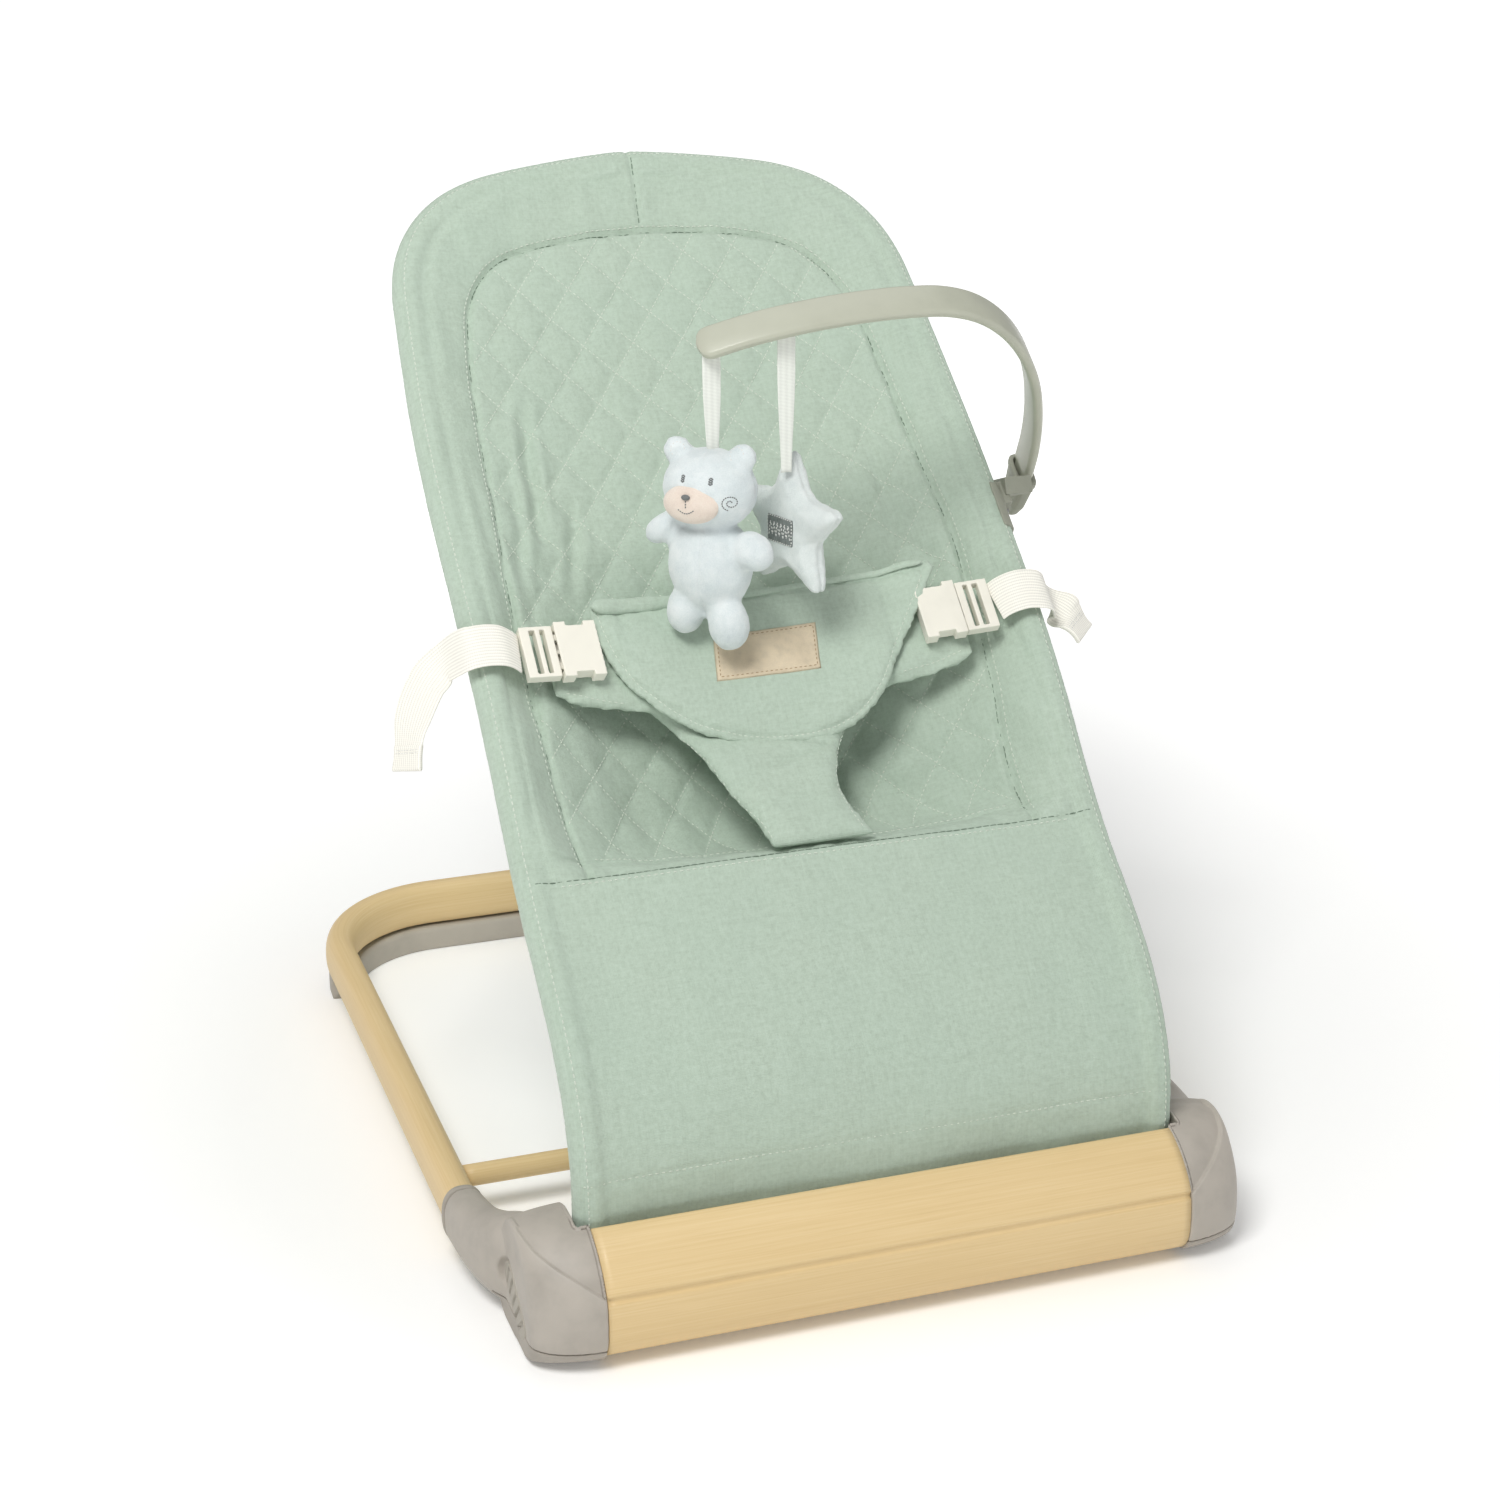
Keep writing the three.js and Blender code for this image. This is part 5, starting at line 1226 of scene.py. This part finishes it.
hh = 4.4 * np.sqrt(np.clip(1 - (1 - np.clip(inner / 6, 0, 1)) ** 2, 0, 1))
strap = grid_solid("strap", bp(X, S, oo + hh), bp(X, S, oo - hh), M_FABRIC)
boolean(wings, strap, "UNION")
pad = wings
inflate(pad, 4.2, 3.0, 4.0)
co, nn = coords(pad), normals(pad)
q = co - BO
px_, ps = q[:, 0], q @ BV
facing = nn @ BN
cre = (np.exp(-((ps + 74 + 0.25 * px_ + 4 * noise(px_ / 20, ps / 20, 81)) / 2.6) ** 2) * 1.8 + np.exp(-((ps + 88 - 0.35 * px_ + 4 * noise(px_ / 18, ps / 22, 82)) / 2.4) ** 2) * 1.4
       + np.exp(-((ps + 118 - 0.15 * px_) / 2.2) ** 2) * 0.9) * smooth(0.1, 0.6, facing) * smooth(60, 40, np.abs(px_))
wr = (noise(px_ / 14, ps / 30, 83) * 0.9 + noise(px_ / 30, ps / 12, 84) * 0.8) * smooth(0.0, 0.5, facing)
wing_fold = 0.9 * np.sin(ps / 3.2 + 2.5 * noise(px_ / 30, ps / 30, 85)) * smooth(95, 135, np.abs(px_)) * smooth(0.1, 0.6, facing)
set_coords(pad, co - nn * (cre - wr * 0.7 - wing_fold * 0.7)[:, None])
set_uvw(pad, np.column_stack([px_, ps, q @ BN]) / 1000)
done(pad, "seat", "cover_fabric", "belt_pad")

flap_off = lambda x, s: belt_off(x, s) + 11.2 + 8.0 * smooth(88, 112, x) + 3.0 * smooth(-88, -112, x) - 2.2 * smooth(-45, -75, s)
FL = [(-112, 24, 30), (-110.5, 9, 31.5), (-107, -6, 32), (-98, -27, 33), (-88, -40, 33.5), (-77, -50.5, 34), (-53, -66, 35), (-15, -77, 36), (25, -78.5, 37), (56, -69, 38), (78, -50, 38), (95, -23, 37.5), (106, -6, 37), (114, 6, 36.5), (123, 20, 36), (130, 31, 35)]
flap = slab("belt_flap", FL, flap_off, 2.7, 80, 34, 3.6)
inflate(flap, 3.4, 2.0, 3.0)
co, nn = coords(flap), normals(flap)
q = co - BO
px_, ps = q[:, 0], q @ BV
facing = nn @ BN
c_ = spline([list(x) for x in FL], 200)
lo_s = np.interp(px_, c_[:, 0], c_[:, 1]); hi_s = np.interp(px_, c_[:, 0], c_[:, 2])
outl = np.vstack([c_[:, [0, 1]], c_[::-1][:, [0, 2]], c_[:1, [0, 1]]])
outl = resample(outl, 700)
dmin = np.min(np.sqrt((px_[:, None] - outl[None, :, 0]) ** 2 + (ps[:, None] - outl[None, :, 1]) ** 2), 1)
fr = smooth(0.2, 0.7, facing)
groove = (1.0 * np.exp(-((dmin - 7.0) / 1.3) ** 2) + 0.25 * np.exp(-((dmin - 11) / 2.0) ** 2)) * fr
wr = (noise(px_ / 40, ps / 22, 91) * 1.1 + noise((px_ + ps) / 16, (ps - px_) / 40, 92) * 0.55) * fr * smooth(4, 14, dmin)
pk = 0.28 * np.sin((px_ + 1.3 * ps) / 2.2 + 3 * noise(px_ / 15, ps / 15, 93)) * np.exp(-((dmin - 7) / 5) ** 2) * fr
set_coords(flap, co + nn * (wr * 0.75 + pk - groove)[:, None])
set_uvw(flap, np.column_stack([px_, ps, q @ BN]) / 1000)
done(flap, "seat", "cover_fabric", "belt_flap")
fl_bvh = tree(flap)

# rolled fold along the flap's top edge, thicker at the left end
rx = np.linspace(-109, 120, 90)
rs = np.interp(rx, c_[:, 0], c_[:, 2]) - 3.0
ro = flap_off(rx, rs) + 2.6
rad = 2.3 + 3.2 * smooth(40, -90, rx)
rad = rad * np.clip(np.sqrt(np.maximum(0, 1 - (np.clip((np.abs(rx - 5.5) - 106) / 8.5, 0, 1)) ** 2)), 0.12, 1) * (1 + 0.06 * np.sin(rx / 4.1))
ring = super_ring(1, 1, 2, 20)
roll = sweep("flap_roll", bp(rx, rs, ro), ring[None] * rad[:, None, None] * [1.0, 0.72], BN, M_FABRIC)
done(roll, "seat", "cover_fabric")

st2 = Stitches()
inset = []
cen = np.array([0, -14.0])
tt_ = np.gradient(outl, axis=0); tt_ /= np.maximum(np.linalg.norm(tt_, axis=1)[:, None], 1e-9)
nin = np.stack([-tt_[:, 1], tt_[:, 0]], 1)
flip = np.sign(((cen - outl) * nin).sum(1))[:, None]
ins = outl + nin * flip * 7.0
sel = ins[:, 1] < 26
idx = np.where(sel)[0]
runs = np.split(idx, np.where(np.diff(idx) > 1)[0] + 1)
for r_ in runs:
    if len(r_) > 10:
        p, n = project(fl_bvh, bp(ins[r_, 0], ins[r_, 1], 0), -BN)
        st2.line(p, n, 3.8, 0.72)
pb = tree(pad)
for sgn in (-1, 1):
    e = rr[6:, 1 if sgn < 0 else 2] - sgn * 5.0
    p, n = project(pb, bp(e, rr[6:, 0], 0), -BN)
    st2.line(p, n, 3.8, 0.72)
wx = spline([(-136, -25), (-120, -30), (-98, -35)], 40)
p, n = project(pb, bp(wx[:, 0], wx[:, 1], 0), -BN); st2.line(p, n, 3.8, 0.72)
wx = spline([(92, -36), (112, -33), (136, -27)], 40)
p, n = project(pb, bp(wx[:, 0], wx[:, 1], 0), -BN); st2.line(p, n, 3.8, 0.72)
st2.make("belt_stitching", 0.36, M_THREAD, "seat", "cover_fabric", 0.2)

# tan patch, following the flap
cu, cv = np.linspace(-1, 1, 46), np.linspace(-1, 1, 26)
U2, V2 = np.meshgrid(cu, cv)
cor = np.array([[-37, -31], [36, -30], [41, 5], [-31, 4]], float) * 0.985
bil = lambda a, b: ((1 - a)[..., None] * (1 - b)[..., None] * cor[0] + (1 + a)[..., None] * (1 - b)[..., None] * cor[1] + (1 + a)[..., None] * (1 + b)[..., None] * cor[2] + (1 - a)[..., None] * (1 + b)[..., None] * cor[3]) / 4
XY = bil(U2, V2)
base_p = bp(XY[..., 0], XY[..., 1], 0)
O2 = np.zeros(U2.shape)
for i in range(U2.shape[0]):
    for j in range(U2.shape[1]):
        hcast = fl_bvh.ray_cast(Vector(base_p[i, j] + BN * 60), Vector(-BN), 300)
        O2[i, j] = (np.array(hcast[0][:]) - BO) @ BN if hcast[0] is not None else np.nan
O2[np.isnan(O2)] = np.nanmean(O2)
for _ in range(6):
    O2[1:-1, 1:-1] = (O2[:-2, 1:-1] + O2[2:, 1:-1] + O2[1:-1, :-2] + O2[1:-1, 2:]) / 4
rim = np.minimum((1 - np.abs(U2)) * 36, (1 - np.abs(V2)) * 17)
top_ = O2 + 1.3 * np.sqrt(np.clip(rim / 0.8, 0, 1)) - 0.35 * np.exp(-((rim - 2.6) / 0.5) ** 2) + 0.12 * np.exp(-((rim - 4.2) / 0.8) ** 2)
low_ = O2 - 0.6
F, B = bp(XY[..., 0], XY[..., 1], top_), bp(XY[..., 0], XY[..., 1], low_)
m_ = np.zeros(U2.shape, bool); m_[1:-1, 1:-1] = True
B[~m_] = F[~m_]
label = grid_solid("tan_patch", F, B, M_LABEL)
done(label, "seat", "label_leather", "label_patch")
lb = tree(label)
st3 = Stitches()
for a0, b0, a1, b1 in ((-1, -1, 1, -1), (1, -1, 1, 1), (1, 1, -1, 1), (-1, 1, -1, -1)):
    t = np.linspace(0, 1, 60)
    ua, va = (a0 + (a1 - a0) * t) * 0.93, (b0 + (b1 - b0) * t) * 0.85
    L = bil(ua, va)
    p, n = project(lb, bp(L[:, 0], L[:, 1], 0), -BN)
    st3.line(p, n, 3.2, 0.72)
st3.make("patch_stitching", 0.34, M_TAN_THREAD, "seat", "label_leather", 0.2)


# ------------------------------------------------------------------ hard pieces taken from the CAD shape and rounded
def from_cad(node, name, voxel, smooth_iter, mat, body, slot, factor=0.5):
    o = bpy.data.objects.new(name, NODES[node].data.copy())
    SCN.collection.objects.link(o)
    bm = bmesh.new(); bm.from_mesh(o.data)
    bmesh.ops.remove_doubles(bm, verts=bm.verts, dist=2e-6)
    bm.to_mesh(o.data); bm.free()
    o.data.materials.clear()
    o.data.materials.append(mat)
    remesh(o, voxel, smooth_iter, factor)
    return done(o, body, slot, node)


for side in ("left", "right"):
    from_cad(f"buckle_{side}_socket", f"buckle_body_{side}", 0.42, 6, M_CREAM, "seat", "cream_plastic")
    from_cad(f"buckle_{side}_plug", f"buckle_plug_{side}", 0.42, 6, M_CREAM, f"plug_{side}", "cream_plastic")
from_cad("toy_bar_bracket", "bar_bracket", 0.55, 8, M_BRACKET, "seat", "bracket_plastic")

WEB = {"left": [bp(-163.2, -1, 4.2), bp(-167.5, 0, 8.6), bp(-174.5, 0.5, 14.2), bp(-184, 1, 16.2), bp(-196, 1, 14.6), (-208.5, -31, 352), (-221, -33, 339), (-233, -42, 318), (-240, -54, 291)],
       "right": [bp(163.2, -1, 4.2), bp(167.5, 0, 8.6), bp(174.5, 0, 14.2), bp(184, 0, 16.2), bp(196, -2, 14.6), (208.5, -38, 350), (219, -46, 342), (228, -52, 330)]}
for side in ("left", "right"):
    P = spline([np.array(p, float) for p in WEB[side]], 150)
    L = length(P)
    along = np.linspace(0, L, len(P))
    secs = []
    for a_ in along:
        fold_ = smooth(L - 17, L - 15.5, a_)
        th = 0.85 + 0.75 * fold_
        x_ = np.linspace(-1, 1, 61)
        w_ = 15 - 0.25 * smooth(L - 1.5, L, a_)
        ribs = 0.16 * np.cos(x_ * 15 / 2.2 * 2 * np.pi)
        edge_ = np.sqrt(np.clip(1 - (np.clip((np.abs(x_) * 15 - 14.2) / 0.8, 0, 1)) ** 2, 0.05, 1))
        end_ = 1 - 0.6 * smooth(L - 1.2, L, a_)
        up_ = np.stack([x_ * w_, (th * end_ + ribs) * edge_], 1)
        dn_ = np.stack([x_[::-1] * w_, -(th * end_ + ribs) * edge_], 1)
        secs.append(np.vstack([up_, dn_]))
    P, T, Wd, Sd = frames_along(P, BV)
    # the width runs along the belt's own up direction, so the section's side axis is that one
    secs = np.array(secs)
    V = P[:, None] + Wd[:, None] * secs[..., :1] + Sd[:, None] * secs[..., 1:]
    n, m = V.shape[:2]
    i = np.arange(m)
    faces = []
    for j in range(n - 1):
        faces += np.stack([j * m + i, j * m + (i + 1) % m, (j + 1) * m + (i + 1) % m, (j + 1) * m + i], 1).tolist()
    faces += [list(range(m))[::-1], [(n - 1) * m + k for k in range(m)]]
    uvw = np.zeros((n, m, 3)); uvw[..., 0] = along[:, None]; uvw[..., 1] = secs[..., 0]; uvw[..., 2] = secs[..., 1]
    o = outward(new_mesh(f"webbing_band_{side}", V.reshape(-1, 3), faces, M_WEB, uvw.reshape(-1, 3) / 1000))
    done(o, f"plug_{side}", "cream_webbing", f"webbing_{side}")
    sw = Stitches()
    at = [int((L - d) / L * (len(P) - 1)) for d in (12.5, 10.5)]
    for a_ in at:
        xs = np.linspace(-12.5, 12.5, 20)
        for sg in (1, -1):
            sw.line(P[a_] + Wd[a_] * xs[:, None] + Sd[a_] * sg * 1.7, np.tile(Sd[a_] * sg, (20, 1)), 3.0, 0.72)
    sw.make(f"webbing_stitch_{side}", 0.32, M_WHITE, f"plug_{side}", "cream_webbing", 0.2)

# ------------------------------------------------------------------ toy bar, ribbons
LEAN = math.radians(36)
BU, BW = np.array([0, -math.sin(LEAN), math.cos(LEAN)]), np.array([0, math.cos(LEAN), math.sin(LEAN)])
BARC = [[226, -26], [225, -10], [223.6, 6], [220.4, 32.7], [213.2, 65], [200.2, 102.1], [182.5, 133.5], [162, 157.4], [140, 173.4], [117.3, 181.4], [93, 183.2], [66.5, 182.2], [40.4, 179.2], [14.9, 174.5], [-10, 168], [-31.5, 160.1], [-42.5, 155.6]]
bar_pt = lambda x, u: np.array([x, 50.2, 418.3]) + BU * u
P = spline([bar_pt(x, u) for x, u in BARC], 220)
L = length(P); along = np.linspace(0, L, 220)
secs = []
for a_ in along:
    w_ = 10.2 + 1.8 * smooth(26, 32, a_)
    t_ = 2.3 + 0.95 * smooth(26, 32, a_)
    tip = np.clip((a_ - (L - 10)) / 10, 0, 1)
    w2 = w_ * math.sqrt(max(0.02, 1 - tip ** 2.6))
    t2 = t_ * (1 - 0.35 * tip ** 3)
    ring = round_rect(w2, t2, min(t2, w2) * 0.82, 7)
    ring[:, 1] += 0.35 * np.exp(-((np.abs(ring[:, 0]) - w2 * 0.72) / 1.2) ** 2) * np.sign(ring[:, 1]) * (a_ > 32) * (1 - tip)
    secs.append(ring)
# the broad side of the bar runs along its own width direction
Pb_, Tb, Wb, Sb = frames_along(P, BW)
secs = np.array(secs)
V = Pb_[:, None] + Wb[:, None] * secs[..., :1] + Sb[:, None] * secs[..., 1:]
n, m = V.shape[:2]
i = np.arange(m)
faces = []
for j in range(n - 1):
    faces += np.stack([j * m + i, j * m + (i + 1) % m, (j + 1) * m + (i + 1) % m, (j + 1) * m + i], 1).tolist()
faces += [list(range(m))[::-1], [(n - 1) * m + k for k in range(m)]]
bar = outward(new_mesh("toy_arch", V.reshape(-1, 3), faces, M_BAR))
done(bar, "toy_bar", "greige_plastic", "toy_bar")


def ribbon(name, x, zlo, width, body, node, y0=None, tail=0.0, double=0.0):
    """Flat ribbon hanging straight down from the bar to the toy."""
    j = int(np.argmin(np.abs(P[:, 0] - x) + 1e3 * (np.arange(len(P)) < 60)))
    c, w_, s_ = P[j], Wb[j], Sb[j]
    if s_[2] < 0:
        s_ = -s_
    loop_ = [c + w_ * (13.2 * math.cos(a)) * 1.0 + s_ * (4.6 * math.sin(a)) for a in np.linspace(-math.pi / 2, 1.5 * math.pi, 40)[:-1]]
    loop_ = np.array(loop_)
    low = c - BU * 2.0 + w_ * 0.0 - s_ * 1.0 + np.array([0, 0, -1.0])
    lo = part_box(node)[0]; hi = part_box(node)[1]
    yc = (lo[1] + hi[1]) * 500
    base_pt = np.array([x, yc, zlo])
    down = np.array([low * (1 - k) + base_pt * k for k in smooth(0, 1, np.linspace(0, 1, 30)) * 0.35 + np.linspace(0, 1, 30) * 0.65])
    pieces_ = []
    for nm, Q, closed_ in ((name, down, False),):
        n = len(Q)
        Pq, Tq, Wq, Sq = frames_along(Q if not closed_ else np.vstack([Q, Q[:1]]), (1, 0, 0))
        if closed_:
            Pq, Tq, Wq, Sq = Pq[:-1], Tq[:-1], Wq[:-1], Sq[:-1]
        # width along X, thickness across
        ww = np.full(n, width / 2)
        if not closed_:
            ww = width / 2 * (1 - 0.34 * smooth(0.3, 1.0, np.linspace(0, 1, n))) + 0.2 * np.sin(np.linspace(0, 5, n))
        th = np.full(n, 0.55)
        if not closed_ and double > 0:
            th = 0.55 + 0.45 * (np.linspace(0, length(Q), n) < double)
        ring = round_rect(1, 1, 0.6, 4)
        V = Pq[:, None] + Wq[:, None] * (ring[None, :, :1] * ww[:, None, None]) + Sq[:, None] * (ring[None, :, 1:] * th[:, None, None])
        m = len(ring); i = np.arange(m); faces = []
        for j2 in range(n if closed_ else n - 1):
            k2 = (j2 + 1) % n
            faces += np.stack([j2 * m + i, j2 * m + (i + 1) % m, k2 * m + (i + 1) % m, k2 * m + i], 1).tolist()
        if not closed_:
            faces += [list(range(m))[::-1], [(n - 1) * m + k for k in range(m)]]
        al = np.r_[0, np.cumsum(np.linalg.norm(np.diff(Pq, axis=0), axis=1))]
        uvw = np.zeros((n, m, 3)); uvw[..., 0] = al[:, None]; uvw[..., 1] = ring[None, :, 0] * ww[:, None]
        pieces_.append(outward(new_mesh(nm, V.reshape(-1, 3), faces, M_RIBBON, uvw.reshape(-1, 3) / 1000)))
    drop_o = pieces_[0]
    done(drop_o, body, "ribbon", node)
    return drop_o


ribbon("ribbon_of_bear", -33, 468, 11.5, "bear", "ribbon_bear", double=22)
ribbon("ribbon_of_star", 13, 462, 11.5, "star", "ribbon_star", double=18)


# ------------------------------------------------------------------ plush toys
def ball(c, r, rot=(0, 0, 0), seg=28):
    bm = bmesh.new()
    bmesh.ops.create_uvsphere(bm, u_segments=seg, v_segments=seg // 2, radius=1.0)
    from mathutils import Euler
    M_ = Matrix.Translation(Vector(c)) @ Euler(rot).to_matrix().to_4x4() @ Matrix.Diagonal((*r, 1))
    bmesh.ops.transform(bm, matrix=Matrix.Scale(0.001, 4) @ M_, verts=bm.verts)
    me = bpy.data.meshes.new("ball"); bm.to_mesh(me); bm.free()
    o = bpy.data.objects.new("ball", me); SCN.collection.objects.link(o)
    return o


OB = np.array([-36, -44, 6.5])
yaw = math.radians(-40)                     # the bear looks towards the left of the seat
cy_, sy_ = math.cos(yaw), math.sin(yaw)


def bear_pt(p):
    p = np.array(p, float)
    q = p - [1, 0, 0]
    return np.array([q[0] * cy_ - q[1] * sy_ + 1, q[0] * sy_ + q[1] * cy_, p[2]]) + OB


parts = []
for c, r, rot in [((1, 0, 447), (31.5, 24, 26.5), (0, 0, 0)), ((1, 0, 398), (28.5, 23, 33), (0, 0, 0)), ((-21, 0, 470), (9.8, 6.4, 9.8), (0, 0, 0)), ((23, 0, 469), (9.8, 6.4, 9.8), (0, 0, 0)),
                  ((-29, -4, 420), (9, 9, 15.5), (0, 0.9, 0)), ((33, -8, 411), (12.5, 11, 14.5), (0, -1.0, 0)), ((-14, -5, 367), (13, 13, 17), (0, 0.12, 0)), ((16, -7, 361), (13.6, 13.5, 18), (0, -0.12, 0))]:
    parts.append(ball(bear_pt(c), r, (rot[0], rot[1], rot[2] + yaw)))
b = parts[0]
for x in parts[1:]:
    boolean(b, x, "UNION")
b.name = "plush_bear"
inflate(b, 2.6, 1.6, 3.0)
b.data.materials.clear(); b.data.materials.append(M_PLUSH)
co, nn = coords(b), normals(b)
loc = co - OB - [1, 0, 0]
lx, ly, lz = loc[:, 0] * cy_ + loc[:, 1] * sy_, -loc[:, 0] * sy_ + loc[:, 1] * cy_, loc[:, 2]
seam = np.exp(-((ly - 1.0) / 0.9) ** 2) * 0.9 + np.exp(-(lx / 0.9) ** 2) * 0.7 * (ly < 0) * ((lz < 425) | (lz > 462))
dim = 0.5 * fbm(co[:, 0] / 9, (co[:, 2] + co[:, 1]) / 9, 101)
neck_ = 1.6 * np.exp(-((lz - 423.5) / 2.4) ** 2) * (np.abs(lx) < 22)
set_coords(b, co - nn * (seam - dim * 0.6 + neck_)[:, None])
done(b, "bear", "plush", "toy_bear")
bb = tree(b)
fdir = np.array([-sy_ * -1 * -1, -cy_, 0.0]); fdir = np.array([sy_, -cy_, 0.0])


def on_bear(pts):
    """Points of the bear's face, given as (across, height) from its middle."""
    W = [bear_pt((1 + x, -40, z)) for x, z in pts]
    return project(bb, W, -fdir, 30)


mz = ball(bear_pt((-4, -20.0, 441.5)), (19, 7.4, 12.8), (0, 0, yaw))
remesh(mz, 0.8, 4)
mz.name = "bear_muzzle"; mz.data.materials.append(M_MUZZLE)
done(mz, "bear", "plush")
mt = tree(mz)


def on_muzzle(pts):
    W = [bear_pt((1 + x, -60, z)) for x, z in pts]
    return project(mt, W, -fdir, 40)


nose = ball(bear_pt((-5, -27.0, 447.5)), (3.0, 1.8, 1.9), (0, 0, yaw), 24)
remesh(nose, 0.35, 2); nose.name = "bear_nose"; nose.data.materials.append(M_DARK)
done(nose, "bear", "plush")
sd = Stitches()
t = np.linspace(0, 1, 24)
p, n = on_muzzle(np.column_stack([-6 + 0 * t, 445.5 - 5 * t])); sd.line(p, n, 1.5, 0.95)
p, n = on_muzzle(np.column_stack([-11.5 + 11 * t, 439.5 - 2.6 * np.sin(t * np.pi)])); sd.line(p, n, 1.5, 0.95)
for ex_ in (-10.5, 8.5):
    for dx in (-1.0, -0.35, 0.35, 1.0):
        hv = 2.5 * math.sqrt(1 - (dx / 1.6) ** 2)
        p, n = on_bear(np.column_stack([ex_ + dx + 0 * t, 457.5 - hv + 2 * hv * t])); sd.line(p, n, 1.3, 0.98)
a_ = np.linspace(0, 3.4 * np.pi, 90)
p, n = on_bear(np.column_stack([20.5 + (0.8 + 0.42 * a_) * np.cos(a_), 444 + (0.8 + 0.42 * a_) * np.sin(a_)])); sd.line(p, n, 1.5, 0.95)
sd.make("bear_embroidery", 0.42, M_DARK, "bear", "plush", 0.1)
sb = Stitches()
a_ = np.linspace(0, 2 * np.pi, 90)

for ex_ in (-20, 20):
    p, n = on_bear(np.column_stack([ex_ + 4.6 * np.cos(a_[:60]), 472 + 4.6 * np.sin(a_[:60])])); sb.line(p, n, 2.4, 0.6)
sb.make("bear_seam_stitching", 0.3, M_WHITE, "bear", "plush", 0.2)

# star: a puffed five-pointed cushion
sc = np.array([21.0, -42.0, 424.0])
pts = []
for i in range(10):
    a = math.pi / 2 + i * math.pi / 5
    r = 54 if i % 2 == 0 else 29
    pts.append((r * math.cos(a), r * math.sin(a)))
ol = resample(np.array(pts + pts[:1]), 241)[:-1]
k5 = np.exp(-0.5 * (np.arange(-9, 10) / 3.6) ** 2); k5 /= k5.sum()
ol = np.stack([np.convolve(np.r_[ol[-9:, i], ol[:, i], ol[:9, i]], k5, "valid") for i in range(2)], 1)
rotz = -1.22
cz, sz = math.cos(rotz), math.sin(rotz)
star_pt = lambda x, y, z: np.stack([sc[0] + x * cz - y * sz, sc[1] + x * sz + y * cz, sc[2] + z], -1)
rings = []
prof_s = [(0.02, 7.6), (0.2, 7.6), (0.4, 7.6), (0.6, 7.4), (0.78, 7.0), (0.9, 6.2), (0.965, 4.6), (0.99, 2.6), (1.0, 0.0)]
prof_s = prof_s + [(a, -h_) for a, h_ in prof_s[:-1]][::-1]
V, n = [], len(ol)
for a, h_ in prof_s:
    q = ol * a
    V.append(star_pt(q[:, 0], np.full(n, -h_), q[:, 1]))
V = np.vstack(V)
faces, i = [], np.arange(n)
for j in range(len(prof_s) - 1):
    faces += np.stack([j * n + i, j * n + (i + 1) % n, (j + 1) * n + (i + 1) % n, (j + 1) * n + i], 1).tolist()
faces += [list(range(n))[::-1], [(len(prof_s) - 1) * n + k for k in range(n)]]
star = outward(new_mesh("plush_star", V, faces, M_STAR))
inflate(star, 2.6, 2.6, 4.0)
star.data.materials.clear(); star.data.materials.append(M_STAR)
co, nn = coords(star), normals(star)
loc = co - sc
lx, ly, lz = loc[:, 0] * cz + loc[:, 1] * sz, -loc[:, 0] * sz + loc[:, 1] * cz, loc[:, 2]
seam = 1.1 * np.exp(-(ly / 0.9) ** 2)
set_coords(star, co - nn * (seam - 0.35 * fbm(lx / 8, lz / 8, 111) - 0.5 * np.abs(np.sin(np.arctan2(lz, lx) * 14)) * np.exp(-((np.abs(ly) - 3.0) / 2.2) ** 2))[:, None])
done(star, "star", "plush", "toy_star")
sbv = tree(star)
sdir = np.array([sz * -1 * -1, -cz, 0.0]); sdir = np.array([sz, -cz, 0.0])
# dark window patch on the side that faces the bear, held by a zigzag
gu, gv = np.meshgrid(np.linspace(-1, 1, 26), np.linspace(-1, 1, 22))
FX, FZ = gu * 12.5, gv * 9 - 2
hit = np.zeros(gu.shape + (3,)); hn = np.zeros(gu.shape + (3,))
for a in range(gu.shape[0]):
    for c in range(gu.shape[1]):
        w0 = star_pt(FX[a, c], -60.0, FZ[a, c])
        hcast = sbv.ray_cast(Vector(w0), Vector(-sdir), 200)
        hit[a, c] = hcast[0][:] if hcast[0] is not None else star_pt(FX[a, c], -8.0, FZ[a, c])
rm = np.minimum(1 - np.abs(gu), 1 - np.abs(gv)) * 10
Fw = hit + sdir * (0.75 * np.sqrt(np.clip(rm / 0.8, 0, 1)))[..., None]
Bw = hit - sdir * 0.5
mk = np.zeros(gu.shape, bool); mk[1:-1, 1:-1] = True
Bw[~mk] = Fw[~mk]
win = grid_solid("star_window", Fw, Bw, M_WINDOW)
done(win, "star", "plush")
wb = tree(win)
sz_ = Stitches()
zx = np.linspace(-10.5, 10.5, 13)
zz = np.where(np.arange(13) % 2, 3.6, -7.0)
Q = resample(np.column_stack([zx, zz]), 160)
p, n = project(wb, [star_pt(x, -60.0, z) for x, z in Q], -sdir, 10); sz_.line(p, n, 2.4, 0.85)
per = resample(np.array([[-12.5, -11], [12.5, -11], [12.5, 7], [-12.5, 7], [-12.5, -11]]) * 0.93, 160)
p, n = project(wb, [star_pt(x, -60.0, z) for x, z in per], -sdir, 10); sz_.line(p, n, 2.2, 0.7)
sz_.make("star_stitching", 0.38, M_WHITE, "star", "plush", 0.1)
